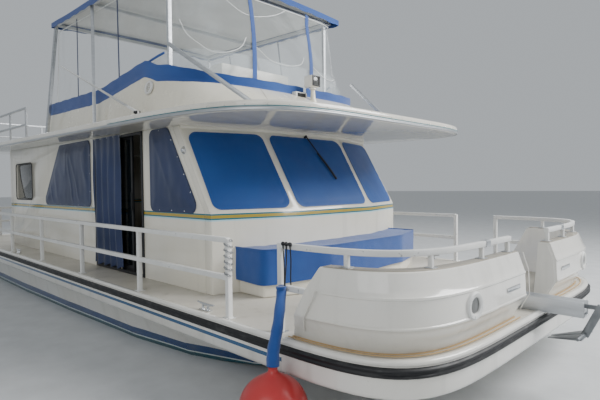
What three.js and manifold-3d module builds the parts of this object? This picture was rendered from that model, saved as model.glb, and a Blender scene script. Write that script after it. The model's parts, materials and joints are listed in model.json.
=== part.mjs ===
// A family houseboat with a flying bridge, afloat: millimetres, +X to the bow, +Y to port, +Z up.
// The origin is amidships on the waterline. Starboard pieces are built first and mirrored to port.
import * as THREE from 'three';
import { mergeVertices } from 'three/addons/utils/BufferGeometryUtils.js';
import Module from 'manifold-3d';

const wasm = await Module();
wasm.setup();

// Driving dimensions
const GAP = 0.3;
const RUN = 6;
const STERN_X = -6100;
const DECK_Z = 720;
const DECK_PLATE = 20;
const HALF_BEAM = 2135;
const FLANGE_LOW = 460;
const BOW = { x0: 4000, a: 2105, b: HALF_BEAM, n: 6.5 };
const RUB = { low: 615, high: 685, proud: 24 };
const RAIL_Y = 2050;
const RAIL_TOP = 1410;
const RAIL_MID = 1090;
const RAIL_BAR = 44;
const POST_PITCH = 1606;
const FIRST_POST_X = 4240;
const GATE_HALF = 400;
const BULWARK_TOP = 1275;
const CABIN_Y = 1654;
const CABIN_AFT_X = -3760;
const SILL_Z = 1560;
const WALL = 50;
const CORNER_X = 3430;
const CENTRE_X = 3720;
const CENTRE_HALF = 683;
const RAKE_TOP = { z: 2500, centreX: 3150, centreHalf: 700 };
// The raked side facet is flat, so its outer top corner follows from the other three
RAKE_TOP.cornerX = CORNER_X - (CENTRE_X - RAKE_TOP.centreX)
  + (RAKE_TOP.centreHalf - CENTRE_HALF) * (CENTRE_X - CORNER_X) / (CABIN_Y - CENTRE_HALF);
const ROOF = {
  frontX: 4645, aftX: -5300, x0: 1320, a: 3325, b: 2100, n: 5.4, underFront: 2503, slope: 0.016, thick: 97,
};
const BASE = { x0: 1500, a: 2400, b: 1680, n: 3.2 };
const TOP = { x0: 1500, a: 1690, b: 1600, n: 3.5 };
const COAMING_AFT_X = -1560;
const COAMING_WALL = 80;
const SKIRT = { side: 180, front: 105, thick: 12 };
const BIMINI = { aftX: -1280, frontX: 2430, half: 1600, frontZ: 4530, slope: 0.034, valance: 75, crown: 60 };
const POLE = 46;

const finish = (color, roughness, metalness = 0, extra = {}) =>
  new THREE.MeshStandardMaterial({ color, roughness, metalness, ...extra });
const gelcoat = finish(0xf0eee6, 0.15);
const creamGelcoat = finish(0xe8e2d2, 0.3);
const nonSkid = finish(0xdcd9cf, 0.6);
const blackRubber = finish(0x16171a, 0.55);
const aluminium = finish(0xc9ccd0, 0.4, 0.9);
const whiteBar = finish(0xe6e7e6, 0.4);
const blueCanvas = finish(0x1a4f8f, 0.75);
const blackPlastic = finish(0x17181a, 0.4);
const clearSheet = finish(0xdfe6ea, 0.1, 0, { transparent: true, opacity: 0.25 });
const darkGlass = finish(0x1d262c, 0.1, 0, { transparent: true, opacity: 0.5 });
const castIron = finish(0x4a4d50, 0.6, 0.6);
const bronze = finish(0xa07840, 0.4, 0.9);
const galvanised = finish(0x8b8f92, 0.5, 0.8);
const redVinyl = finish(0xb01f24, 0.35);

// Geometry to solid and back
function toSolid(geometry) {
  const bare = geometry.clone();
  bare.deleteAttribute('normal');
  bare.deleteAttribute('uv');
  const merged = mergeVertices(bare, 0.001);
  return new wasm.Manifold(new wasm.Mesh({
    numProp: 3,
    vertProperties: new Float32Array(merged.attributes.position.array),
    triVerts: new Uint32Array(merged.index.array),
  }));
}

function toGeometry(solid) {
  const mesh = solid.getMesh();
  const geometry = new THREE.BufferGeometry();
  geometry.setAttribute('position', new THREE.BufferAttribute(new Float32Array(mesh.vertProperties), 3));
  geometry.setIndex(new THREE.BufferAttribute(new Uint32Array(mesh.triVerts), 1));
  geometry.computeVertexNormals();
  return geometry;
}

const join = (...solids) => solids.reduce((whole, piece) => whole.add(piece));
const cut = (solid, ...tools) => tools.reduce((left, tool) => left.subtract(tool), solid);

// The same solid on the other side of the centreline
function mirrored(solid) {
  const geometry = toGeometry(solid);
  geometry.scale(1, -1, 1);
  const index = geometry.index.array;
  for (let i = 0; i < index.length; i += 3) {
    [index[i], index[i + 1]] = [index[i + 1], index[i]];
  }
  return toSolid(geometry);
}

// Block between low and high values on each axis
function block([x0, x1], [y0, y1], [z0, z1]) {
  const geometry = new THREE.BoxGeometry(x1 - x0, y1 - y0, z1 - z0);
  geometry.translate((x0 + x1) / 2, (y0 + y1) / 2, (z0 + z1) / 2);
  return toSolid(geometry);
}

// Outlines are [a, b] pairs drawn counter-clockwise; axes is the plane's two directions and the push
function extruded(outline, depth, axes, origin = [0, 0, 0]) {
  const shape = new THREE.Shape(outline.map(([a, b]) => new THREE.Vector2(a, b)));
  const geometry = new THREE.ExtrudeGeometry(shape, { depth, bevelEnabled: false });
  geometry.applyMatrix4(new THREE.Matrix4().makeBasis(...axes));
  geometry.translate(...origin);
  return toSolid(geometry);
}
const X = new THREE.Vector3(1, 0, 0);
const Y = new THREE.Vector3(0, 1, 0);
const Z = new THREE.Vector3(0, 0, 1);
const MINUS_Y = new THREE.Vector3(0, -1, 0);
const plate = (outline, z0, z1) => extruded(outline, z1 - z0, [X, Y, Z], [0, 0, z0]);
const profileAcross = (outline, y0, y1) => extruded(outline, y1 - y0, [X, Z, MINUS_Y], [0, y1, 0]);
const profileAlong = (outline, x0, x1) => extruded(outline, x1 - x0, [Y, Z, X], [x0, 0, 0]);

function segmentMatrix(from, to) {
  const a = new THREE.Vector3(...from);
  const b = new THREE.Vector3(...to);
  const along = b.clone().sub(a);
  const length = along.length();
  along.normalize();
  const side = new THREE.Vector3().crossVectors(Math.abs(along.z) > 0.999 ? X : Z, along).normalize();
  const up = new THREE.Vector3().crossVectors(along, side);
  const matrix = new THREE.Matrix4().makeBasis(side, up, along);
  matrix.setPosition(a);
  return { matrix, length };
}

// Rectangular bar between two points
function bar(from, to, width, height = width) {
  const { matrix, length } = segmentMatrix(from, to);
  const geometry = new THREE.BoxGeometry(width, height, length);
  geometry.translate(0, 0, length / 2);
  geometry.applyMatrix4(matrix);
  return toSolid(geometry);
}

// Round bar between two points
function rod(from, to, radius, sides = 12, endRadius = radius) {
  const { matrix, length } = segmentMatrix(from, to);
  const geometry = new THREE.CylinderGeometry(endRadius, radius, length, sides);
  geometry.rotateX(Math.PI / 2);
  geometry.translate(0, 0, length / 2);
  geometry.applyMatrix4(matrix);
  return toSolid(geometry);
}

// Skin over rings of equal count, each ring a list of [x, y, z]
function loft(rings) {
  const count = rings[0].length;
  const points = rings.flat();
  const index = [];
  for (let i = 0; i < rings.length - 1; i += 1) {
    for (let k = 0; k < count; k += 1) {
      const a = i * count + k;
      const b = i * count + (k + 1) % count;
      index.push(a, b, a + count, b, b + count, a + count);
    }
  }
  for (const [ring, turned] of [[0, true], [rings.length - 1, false]]) {
    const centre = rings[ring].reduce((sum, p) => sum.map((v, i) => v + p[i] / count), [0, 0, 0]);
    const hub = points.push(centre) - 1;
    for (let k = 0; k < count; k += 1) {
      const a = ring * count + k;
      const b = ring * count + (k + 1) % count;
      index.push(...(turned ? [b, a, hub] : [a, b, hub]));
    }
  }
  const volume = index.reduce((sum, _, i) => {
    if (i % 3) return sum;
    const [p, q, r] = [0, 1, 2].map((k) => new THREE.Vector3(...points[index[i + k]]));
    return sum + p.dot(q.cross(r));
  }, 0);
  const geometry = new THREE.BufferGeometry();
  geometry.setAttribute('position', new THREE.Float32BufferAttribute(points.flat(), 3));
  geometry.setIndex(volume < 0 ? index.reverse() : index);
  return toSolid(geometry);
}

// Point of a rounded bow plan at an angle from straight ahead, moved in by inset
function bowPoint(curve, angle, inset = 0) {
  const [c, s] = [Math.cos(angle), Math.sin(angle)];
  const reach = (Math.abs(c / (curve.a - inset)) ** curve.n + Math.abs(s / (curve.b - inset)) ** curve.n)
    ** (-1 / curve.n);
  return [curve.x0 + reach * c, reach * s];
}

// Even angles from starboard to port
const bowAngles = (from, to, steps) =>
  Array.from({ length: steps + 1 }, (_, i) => from + (to - from) * i / steps);

// Plan with the rounded bow and a square stern with small round corners
function planOutline(curve, aftX, inset = 0, steps = 32, cornerRadius = 220) {
  const outline = bowAngles(-Math.PI / 2, Math.PI / 2, steps).map((angle) => bowPoint(curve, angle, inset));
  const half = curve.b - inset;
  const r = Math.max(cornerRadius - inset, 20);
  for (const [side, start] of [[1, Math.PI / 2], [-1, Math.PI]]) {
    for (let i = 0; i <= 3; i += 1) {
      const angle = start + Math.PI / 2 * i / 3;
      outline.push([aftX + inset + r + r * Math.cos(angle), side * (half - r) + r * Math.sin(angle)]);
    }
  }
  return outline;
}

// Wall that follows a bow plan: profile rows are { inset, z }, z may depend on the plan point
function bowWall(curve, angles, profile) {
  return loft(angles.map((angle) => profile.map(({ curve: own, inset, z }) => {
    const [x, y] = bowPoint(own ?? curve, angle, inset);
    return [x, y, typeof z === 'function' ? z(x, y) : z];
  })));
}

// Convex outline with each edge moved inward and its corners rounded
function roundedOutline(corners, radius, inset = 0, steps = 3) {
  const count = corners.length;
  const edges = corners.map((p, i) => {
    const q = corners[(i + 1) % count];
    const length = Math.hypot(q[0] - p[0], q[1] - p[1]);
    const normal = [-(q[1] - p[1]) / length, (q[0] - p[0]) / length];
    return { normal, offset: normal[0] * p[0] + normal[1] * p[1] };
  });
  const meet = (first, second, shift) => {
    const det = first.normal[0] * second.normal[1] - first.normal[1] * second.normal[0];
    const [c, d] = [first.offset + shift, second.offset + shift];
    return [(c * second.normal[1] - d * first.normal[1]) / det,
      (d * first.normal[0] - c * second.normal[0]) / det];
  };
  const outline = [];
  for (let i = 0; i < count; i += 1) {
    const [before, after] = [edges[(i + count - 1) % count], edges[i]];
    const r = Math.max(radius - inset, 1);
    const centre = meet(before, after, inset + r);
    const start = Math.atan2(-before.normal[1], -before.normal[0]);
    let sweep = Math.atan2(-after.normal[1], -after.normal[0]) - start;
    if (sweep < 0) sweep += 2 * Math.PI;
    for (let k = 0; k <= steps; k += 1) {
      const angle = start + sweep * k / steps;
      outline.push([centre[0] + r * Math.cos(angle), centre[1] + r * Math.sin(angle)]);
    }
  }
  return outline;
}

// Slab on a wall plane: face = { origin, u, v }, from and to count outward from the wall's face
function slab(face, outline, from, to) {
  const normal = new THREE.Vector3().crossVectors(face.u, face.v);
  return loft([from, to].map((level) => outline.map(([a, b]) => face.origin.clone()
    .addScaledVector(face.u, a).addScaledVector(face.v, b).addScaledVector(normal, level).toArray())));
}

const roofUnder = (x) => ROOF.underFront + (ROOF.frontX - x) * ROOF.slope;
const roofTop = (x) => roofUnder(x) + ROOF.thick;
const canopyZ = (x) => BIMINI.frontZ + (BIMINI.frontX - x) * BIMINI.slope;

// Pieces drawn with z counted from a sloping surface are leaned with it
function leaned(solid, surface) {
  const geometry = toGeometry(solid);
  const position = geometry.attributes.position;
  for (let i = 0; i < position.count; i += 1) {
    position.setZ(i, position.getZ(i) + surface(position.getX(i)));
  }
  return toSolid(geometry);
}
const onRoof = (solid) => leaned(solid, roofTop);

// Pieces that turn stand level: z counted from the roof's top at one place
function levelOnRoof(solid, x) {
  const geometry = toGeometry(solid);
  geometry.translate(0, 0, roofTop(x));
  return toSolid(geometry);
}

const group = new THREE.Group();
function add(name, solid, material) {
  const mesh = new THREE.Mesh(toGeometry(solid), material);
  mesh.name = name;
  group.add(mesh);
}
function addPair(name, solid, material) {
  add(`${name}_starboard`, solid, material);
  add(`${name}_port`, mirrored(solid), material);
}

// Hull: shallow V with hard chines, wide flange at deck level, engine well aft
const WELL = { x: [-5480, -4020], y: [-1100, 1100], floor: -110, mouth: [-720, 720], mouthLow: 600 };
const HATCH = { x: [-5500, -4000], y: [-740, 740] };
const SHEER_Z = DECK_Z - DECK_PLATE;
const hullStations = [
  // x, half width at the flange, half width at the chine, chine height, keel height
  [STERN_X + 40, 1960, 1860, -120, -430],
  [-2000, 1980, 1870, -120, -560],
  [2000, 1960, 1760, -70, -600],
  [3800, 1820, 1420, 30, -560],
  [4900, 1350, 820, 170, -330],
  [5500, 760, 360, 290, 40],
  [5880, 90, 50, 400, 330],
];
function hull() {
  const bodyTop = SHEER_Z - 60;
  const body = loft(hullStations.map(([x, sheer, chine, chineZ, keelZ]) => [
    [x, 0, keelZ], [x, chine, chineZ], [x, sheer, bodyTop], [x, -sheer, bodyTop], [x, -chine, chineZ],
  ]));
  const flange = plate(planOutline(BOW, STERN_X), FLANGE_LOW, SHEER_Z);
  const well = block(WELL.x, WELL.y, [WELL.floor, WELL.mouthLow]);
  const mouth = block(WELL.x, WELL.mouth, [WELL.mouthLow - 10, DECK_Z]);
  const bores = [shaftBore(), rudderBore()].flatMap((bore) => [bore, mirrored(bore)]);
  return cut(join(body, flange, strut(), mirrored(strut())), well, mouth, ...bores);
}

function rubRail() {
  const outer = plate(planOutline(BOW, STERN_X, -RUB.proud), RUB.low, RUB.high);
  return cut(outer, plate(planOutline(BOW, STERN_X, -GAP), RUB.low - 10, RUB.high + 10));
}
add('rub_rail', rubRail(), blackRubber);

function deckPlate() {
  const sheet = plate(planOutline(BOW, STERN_X, 40), SHEER_Z + GAP, DECK_Z);
  return cut(sheet, block(HATCH.x, HATCH.y, [SHEER_Z - 10, DECK_Z + 10]));
}
add('deck', deckPlate(), nonSkid);
const ON_DECK = DECK_Z + GAP;

// Engine hatch lid, hinged at its aft edge
const HATCH_HINGE = { x: HATCH.x[0] + RUN / 2, z: DECK_Z + 10 };
function hatchLid() {
  const y = [HATCH.y[0] + RUN, HATCH.y[1] - RUN];
  const lid = block([HATCH.x[0] + RUN, HATCH.x[1] - RUN], y, [SHEER_Z + GAP, DECK_Z]);
  const hinges = [-500, 500].map((at) => join(
    block([HATCH.x[0] + RUN, HATCH.x[0] + 90], [at - 40, at + 40], [DECK_Z - 2, DECK_Z + 6]),
    rod([HATCH_HINGE.x, at - 40, HATCH_HINGE.z], [HATCH_HINGE.x, at + 40, HATCH_HINGE.z], 8, 8)));
  const handle = block([HATCH.x[1] - 90, HATCH.x[1] - 60], [-70, 70], [DECK_Z - 2, DECK_Z + 12]);
  return join(lid, ...hinges, handle);
}
add('engine_hatch', hatchLid(), nonSkid);

// Inboard engines as plain blocks on the well's floor, shafts, screws and rudders below
const ENGINE = { x: [-5300, -4300], y: -650, halfWidth: 300, top: 520 };
addPair('engine', block(ENGINE.x, [ENGINE.y - ENGINE.halfWidth, ENGINE.y + ENGINE.halfWidth],
  [WELL.floor + GAP, ENGINE.top]), castIron);

const SCREW = { x: -5300, y: 800, z: -560, radius: 220, hub: 42 };
const STRUT = { x: -5120, half: 60, radius: 48, thick: 20, chord: 80 };
const SHAFT_TOP = { x: -3300, z: -330 };
const shaftZ = (x) => SCREW.z + (x - SCREW.x) * (SHAFT_TOP.z - SCREW.z) / (SHAFT_TOP.x - SCREW.x);
const SHAFT_DIR = new THREE.Vector3(SHAFT_TOP.x - SCREW.x, 0, SHAFT_TOP.z - SCREW.z).normalize();
const alongShaft = (distance) => [SCREW.x + SHAFT_DIR.x * distance, -SCREW.y, SCREW.z + SHAFT_DIR.z * distance];
const hullBottom = (x, y) => {
  const next = hullStations.findIndex((row) => row[0] > x);
  const [a, b] = [hullStations[next - 1], hullStations[next]];
  const t = (x - a[0]) / (b[0] - a[0]);
  const [chine, chineZ, keelZ] = [2, 3, 4].map((k) => a[k] + (b[k] - a[k]) * t);
  return keelZ + (chineZ - keelZ) * Math.abs(y) / chine;
};

function strut() {
  const [aft, fore] = [STRUT.x - STRUT.half, STRUT.x + STRUT.half];
  const ring = rod([aft, -SCREW.y, shaftZ(aft)], [fore, -SCREW.y, shaftZ(fore)], STRUT.radius, 16);
  const leg = bar([STRUT.x, -SCREW.y, shaftZ(STRUT.x)],
    [STRUT.x + 40, -SCREW.y, hullBottom(STRUT.x, SCREW.y) + 40], STRUT.thick, STRUT.chord);
  return join(ring, leg);
}
const shaftBore = () => rod(alongShaft(-200), alongShaft(1300), 20, 16);
function screw() {
  const centre = alongShaft(0);
  const shaft = rod(alongShaft(-60), alongShaft(1290), 19, 12);
  const hub = rod(alongShaft(-95), alongShaft(70), SCREW.hub, 16, 36);
  const blade = (turn) => {
    const geometry = new THREE.BoxGeometry(SCREW.radius - 20, 150, 16, 1, 1, 1);
    geometry.translate((SCREW.radius + 20) / 2, 0, 0);
    geometry.rotateX(THREE.MathUtils.degToRad(28));
    geometry.rotateZ(turn);
    geometry.applyMatrix4(segmentMatrix(centre, alongShaft(100)).matrix);
    return toSolid(geometry);
  };
  return join(shaft, hub, ...[0, 1, 2, 3].map((i) => blade(i * Math.PI / 2)));
}
addPair('screw', screw(), bronze);

const RUDDER = { x: -5800, y: 800, low: -780, top: -340, port: 60 };
const rudderPort = (radius, rise) => rod([RUDDER.x, -RUDDER.y, RUDDER.top - 60],
  [RUDDER.x, -RUDDER.y, hullBottom(RUDDER.x, RUDDER.y) + rise], radius, 12);
function rudder() {
  const blade = block([RUDDER.x - 230, RUDDER.x + 70], [-RUDDER.y - 14, -RUDDER.y + 14],
    [RUDDER.low, RUDDER.top]);
  return join(blade, rudderPort(22, RUDDER.port));
}
addPair('rudder', rudder(), bronze);
const rudderBore = () => rudderPort(23, RUDDER.port + 10);
add('hull', hull(), gelcoat);

// Bow bulwark: two halves with a gate between, ends aft in a slanted edge
const bulwarkProfile = [
  { inset: 115, z: ON_DECK }, { inset: 85, z: 800 }, { inset: 15, z: 920 }, { inset: 25, z: 1120 },
  { inset: 80, z: BULWARK_TOP }, { inset: 190, z: BULWARK_TOP }, { inset: 230, z: ON_DECK },
];
const SLANT = { baseX: 4990, topX: 5280 };
const slantX = (z) => SLANT.baseX + (SLANT.topX - SLANT.baseX) * (z - DECK_Z) / (BULWARK_TOP - DECK_Z);
function bulwark() {
  const wall = bowWall(BOW, bowAngles(-1.4, 0, 26), bulwarkProfile);
  const [low, high] = [600, 1400];
  const aft = profileAcross([[3000, low], [slantX(low), low], [slantX(high), high], [3000, high]], -3000, 3000);
  return cut(wall, aft, block([5000, 7000], [-GATE_HALF, 400], [600, 1500]));
}
addPair('bow_bulwark', bulwark(), gelcoat);

// Rails of square bar
const RAIL_MIDLINE = 135;
// Angle from ahead of each short stanchion on the bulwark's cap
const bowFeet = [0.245, 0.46, 0.7, 0.93];
const FORE_POST_X = 4842;
function bowRail() {
  const half = RAIL_BAR / 2;
  const curve = (inset) => ({ inset: RAIL_MIDLINE + inset });
  const top = bowWall(BOW, bowAngles(-1.3, 0, 24), [
    { ...curve(-half), z: RAIL_TOP - RAIL_BAR }, { ...curve(-half), z: RAIL_TOP },
    { ...curve(half), z: RAIL_TOP }, { ...curve(half), z: RAIL_TOP - RAIL_BAR }]);
  const railY = HALF_BEAM - RAIL_MIDLINE;
  const trimmed = cut(top, block([3000, 4820], [-2500, 0], [1300, 1500]),
    block([5000, 7000], [-GATE_HALF - 20, 400], [1300, 1500]));
  const post = bar([FORE_POST_X, -railY, ON_DECK], [FORE_POST_X, -railY, RAIL_TOP - 10], RAIL_BAR);
  const mid = bar([FORE_POST_X, -railY, RAIL_MID - half],
    [slantX(RAIL_MID - RAIL_BAR) - 2, -railY, RAIL_MID - half], RAIL_BAR);
  const feet = bowFeet.map((angle) => {
    const [x, y] = bowPoint(BOW, -angle, RAIL_MIDLINE);
    return bar([x, y, BULWARK_TOP + GAP], [x, y, RAIL_TOP - 10], 36);
  });
  return join(trimmed, post, mid, ...feet);
}
addPair('bow_rail', bowRail(), whiteBar);

const sidePostX = Array.from({ length: 7 }, (_, i) => FIRST_POST_X - i * POST_PITCH);
const STERN_RAIL_X = -5960;
const STERN_GATE = 620;
function sideRail() {
  const half = RAIL_BAR / 2;
  const bars = [RAIL_TOP - half, RAIL_MID - half].map((z) => join(
    bar([FIRST_POST_X, -RAIL_Y, z], [STERN_RAIL_X - half, -RAIL_Y, z], RAIL_BAR),
    bar([STERN_RAIL_X, -RAIL_Y, z], [STERN_RAIL_X, -STERN_GATE, z], RAIL_BAR)));
  const sternFeet = [[STERN_RAIL_X, -1350], [STERN_RAIL_X, -STERN_GATE - half]];
  const feet = [...sidePostX.map((x) => [x, -RAIL_Y]), ...sternFeet];
  const posts = feet.map(([x, y]) => join(
    bar([x, y, ON_DECK], [x, y, RAIL_TOP - 10], RAIL_BAR),
    block([x - 45, x + 45], [y - 40, y + 40], [ON_DECK, ON_DECK + 8])));
  return join(...bars, ...posts);
}
addPair('side_rail', sideRail(), whiteBar);

// Cabin shell: three-facet front, plumb to the sill and raked above it
function cabinPlan(inset, z) {
  const t = (z - SILL_Z) / (RAKE_TOP.z - SILL_Z);
  const at = (low, high) => (t < 0 ? low : low + (high - low) * t);
  const corner = [at(CORNER_X, RAKE_TOP.cornerX) - inset * 1.3, CABIN_Y - inset];
  const centreHalf = at(CENTRE_HALF, RAKE_TOP.centreHalf) - inset * 0.15;
  const centre = [at(CENTRE_X, RAKE_TOP.centreX) - inset * 1.05, centreHalf];
  const aft = [CABIN_AFT_X + inset, CABIN_Y - inset];
  const starboard = [aft, corner, centre];
  return [...starboard.map(([x, y]) => [x, -y, z]), ...starboard.reverse().map(([x, y]) => [x, y, z])];
}
const CABIN_LEVELS = [ON_DECK, SILL_Z, 2800];
function cabinShell() {
  const outer = loft(CABIN_LEVELS.map((z) => cabinPlan(0, z)));
  const inner = loft([ON_DECK - 20, SILL_Z, 2900].map((z) => cabinPlan(WALL, z)));
  const [aft, fore] = [-7000, 6000];
  const above = profileAcross([[aft, roofUnder(aft) - GAP], [fore, roofUnder(fore) - GAP],
    [fore, 3200], [aft, 3200]], -3000, 3000);
  return cut(outer, inner, above);
}

// Wall planes with u to the right and v up, seen from outside
function facet(a, b, top) {
  const origin = new THREE.Vector3(...a);
  const u = new THREE.Vector3(...b).sub(origin).normalize();
  const v = new THREE.Vector3(...top).sub(origin);
  v.addScaledVector(u, -v.dot(u)).normalize();
  return { origin, u, v };
}
const cornerLow = [CORNER_X, -CABIN_Y, SILL_Z];
const centreLow = [CENTRE_X, -CENTRE_HALF, SILL_Z];
const cornerHigh = [RAKE_TOP.cornerX, -CABIN_Y, RAKE_TOP.z];
const centreHigh = [RAKE_TOP.centreX, -RAKE_TOP.centreHalf, RAKE_TOP.z];
const faces = {
  centre: facet(centreLow, [CENTRE_X, CENTRE_HALF, SILL_Z], centreHigh),
  front: facet(cornerLow, centreLow, cornerHigh),
  side: { origin: new THREE.Vector3(0, -CABIN_Y, 0), u: X, v: Z },
};
const inFace = (face, point) => {
  const d = new THREE.Vector3(...point).sub(face.origin);
  return [d.dot(face.u), d.dot(face.v)];
};
const FRAME_EDGE = 78;
const CORNER = { front: 150, side: 70 };
const centreWindow = [centreLow, [CENTRE_X, CENTRE_HALF, SILL_Z],
  [RAKE_TOP.centreX, RAKE_TOP.centreHalf, RAKE_TOP.z], centreHigh].map((p) => inFace(faces.centre, p));
const frontWindow = [cornerLow, centreLow, centreHigh, cornerHigh].map((p) => inFace(faces.front, p));
const sideWindows = {
  // corner points x, z on the starboard wall
  fore: [[2190, 1580], [3195, 1580], [2590, 2510], [2190, 2510]],
  aft: [[-1660, 1590], [360, 1590], [360, 2535], [-860, 2535]],
  cabin: [[-3350, 1650], [-2350, 1650], [-2350, 2330], [-3350, 2330]],
};
const DOORWAY = { x: [560, 1980], split: 1290, z: [745, 2530] };

// Side doors: a sliding leaf inboard of the wall's fixed pane, slid part of the way open
const LEAF = { width: 710, x: 870, thick: 26, frame: 46 };
function framedLeaf([x0, x1], [z0, z1], [y0, y1]) {
  const [glassX, glassZ] = [[x0 + LEAF.frame, x1 - LEAF.frame], [z0 + LEAF.frame * 2, z1 - LEAF.frame]];
  return cut(block([x0, x1], [y0, y1], [z0, z1]),
    block(glassX, [y0 - 10, y0 + 9], glassZ), block(glassX, [y1 - 9, y1 + 10], glassZ));
}

// Joint between the front moulding and the sides, as points x, z from the deck to the roof
const jointLine = (shift) =>
  [[3300, 600], [3300, SILL_Z], [2710, 2500], [2400, 3000]].map(([x, z]) => [x - shift, z]);
function frontPanel(shell) {
  const region = profileAcross([[4200, 600], [4200, 3000], ...jointLine(0).reverse()], -2000, 2000);
  const holes = [
    slab(faces.centre, roundedOutline(centreWindow, CORNER.front, FRAME_EDGE), -120, 60),
    slab(faces.front, roundedOutline(frontWindow, CORNER.front, FRAME_EDGE), -120, 60),
  ];
  return cut(shell.intersect(region), ...holes, mirrored(holes[1]));
}

const AFT_DOOR = { y: [-380, 380], z: [760, 2560] };
const AFT_HINGE = { x: CABIN_AFT_X - 22, y: 370, radius: 12, knuckles: [1000, 2300], length: 90 };
const SIDE_AFT_X = CABIN_AFT_X + WALL + GAP;
function sidePanel(shell) {
  const region = profileAcross([[SIDE_AFT_X, 600], ...jointLine(GAP), [SIDE_AFT_X, 3000]], -2000, -1000);
  const holes = Object.values(sideWindows).map((corners) =>
    slab(faces.side, roundedOutline(corners, CORNER.side), -140, 60));
  const fixed = framedLeaf([DOORWAY.x[0] - 10, DOORWAY.split], [DOORWAY.z[0] - 10, DOORWAY.z[1] + 10],
    [-CABIN_Y + 12, -CABIN_Y + 38]);
  return join(cut(shell.intersect(region), ...holes, block(DOORWAY.x, [-1800, -1400], DOORWAY.z)), fixed);
}
const shell = cabinShell();
add('cabin_front', frontPanel(shell), gelcoat);
addPair('cabin_side', sidePanel(shell), gelcoat);
function aftBulkhead() {
  const wall = block([CABIN_AFT_X, SIDE_AFT_X - GAP], [-CABIN_Y, CABIN_Y],
    [ON_DECK, roofUnder(SIDE_AFT_X) - GAP]);
  const ears = AFT_HINGE.knuckles.flatMap((at) => [at - 20 - GAP, at + AFT_HINGE.length + GAP]).map((z) =>
    block([AFT_HINGE.x - AFT_HINGE.radius, CABIN_AFT_X + 10], [AFT_HINGE.y, AFT_HINGE.y + 24], [z, z + 20]));
  return join(cut(wall, block([-3900, -3600], AFT_DOOR.y, AFT_DOOR.z)), ...ears);
}
add('cabin_aft_bulkhead', aftBulkhead(), gelcoat);

// Window panes in their openings, canvas covers snapped over them outside
const pane = (face, corners) => slab(face, roundedOutline(corners, CORNER.side, GAP), -34, -26);
const cover = (face, corners, radius, inset) =>
  slab(face, roundedOutline(corners, radius, inset - 22), GAP, 8);
add('window_cover_centre', cover(faces.centre, centreWindow, CORNER.front, FRAME_EDGE), blueCanvas);
addPair('window_cover_front', cover(faces.front, frontWindow, CORNER.front, FRAME_EDGE), blueCanvas);
for (const [name, corners] of Object.entries(sideWindows)) {
  if (name === 'cabin') addPair('cabin_pane', pane(faces.side, corners), darkGlass);
  else addPair(`window_cover_${name}`, cover(faces.side, corners, CORNER.side, 0), blueCanvas);
}

const leafX = [LEAF.x, LEAF.x + LEAF.width];
const leafZ = [ON_DECK + GAP, DOORWAY.z[1] - RUN];
const leafY = [-CABIN_Y + WALL + 8, -CABIN_Y + WALL + 8 + LEAF.thick];
addPair('door_leaf', framedLeaf(leafX, [leafZ[0], leafZ[1]], leafY), blackPlastic);
add('door_cover', block([540, 1405], [-CABIN_Y - 52, -CABIN_Y - GAP], [775, 2545]), blueCanvas);

// Aft door, hinged on its port edge and opening outward over the cockpit
function aftDoor() {
  const z = [AFT_DOOR.z[0] + RUN, AFT_DOOR.z[1] - RUN];
  const y = [AFT_DOOR.y[0] + RUN, AFT_DOOR.y[1] - RUN * 2];
  const leaf = cut(block([CABIN_AFT_X - 12, CABIN_AFT_X + 28], y, z),
    block([CABIN_AFT_X - 30, CABIN_AFT_X + 60], [y[0] + 120, y[1] - 120], [1600, z[1] - 140]));
  const glass = block([CABIN_AFT_X, CABIN_AFT_X + 8], [y[0] + 110, y[1] - 110], [1590, z[1] - 130]);
  const knuckles = AFT_HINGE.knuckles.map((at) => rod([AFT_HINGE.x, AFT_HINGE.y, at],
    [AFT_HINGE.x, AFT_HINGE.y, at + AFT_HINGE.length], AFT_HINGE.radius, 10));
  return join(leaf, glass, ...knuckles);
}
add('aft_door', aftDoor(), gelcoat);

// Roof over the cabin and cockpit, with posts under its aft corners
const roofOutline = planOutline(ROOF, ROOF.aftX, 0, 28, 300);
const POST = { x: -5200, y: 1900, width: 60 };
// Folded whip aerial on its ratchet mount
const AERIAL = { x: 2330, y: -1880, height: 70, length: 2570, tilt: 22 };
function roof() {
  const posts = [-POST.y, POST.y].map((y) =>
    bar([POST.x, y, ON_DECK], [POST.x, y, roofUnder(POST.x) + 20], POST.width));
  const mount = join(
    block([AERIAL.x - 60, AERIAL.x + 60], [AERIAL.y - 35, AERIAL.y + 35], [-10, 10]),
    block([AERIAL.x - 22, AERIAL.x + 22], [AERIAL.y + 12.5, AERIAL.y + 25], [5, AERIAL.height + 20]),
    block([AERIAL.x - 22, AERIAL.x + 22], [AERIAL.y - 25, AERIAL.y - 12.5], [5, AERIAL.height + 20]));
  return join(onRoof(join(plate(roofOutline, -ROOF.thick, 0), mount)), ...posts);
}
add('roof', roof(), gelcoat);

// Flying bridge coaming: raked round the front, open aft
const coamingTop = [
  // x, height above the roof
  [COAMING_AFT_X, 432], [640, 420], [1980, 600], [2230, 507], [3190, 387],
];
function heightAt(rows, x) {
  const next = rows.findIndex((row) => row[0] >= x);
  if (next <= 0) return rows[next < 0 ? rows.length - 1 : 0][1];
  const [a, b] = [rows[next - 1], rows[next]];
  return a[1] + (b[1] - a[1]) * (x - a[0]) / (b[0] - a[0]);
}

const CURTAIN = { thick: 6, belowCanopy: BIMINI.valance + 4, aftX: -1200, inset: 40 };

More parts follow.
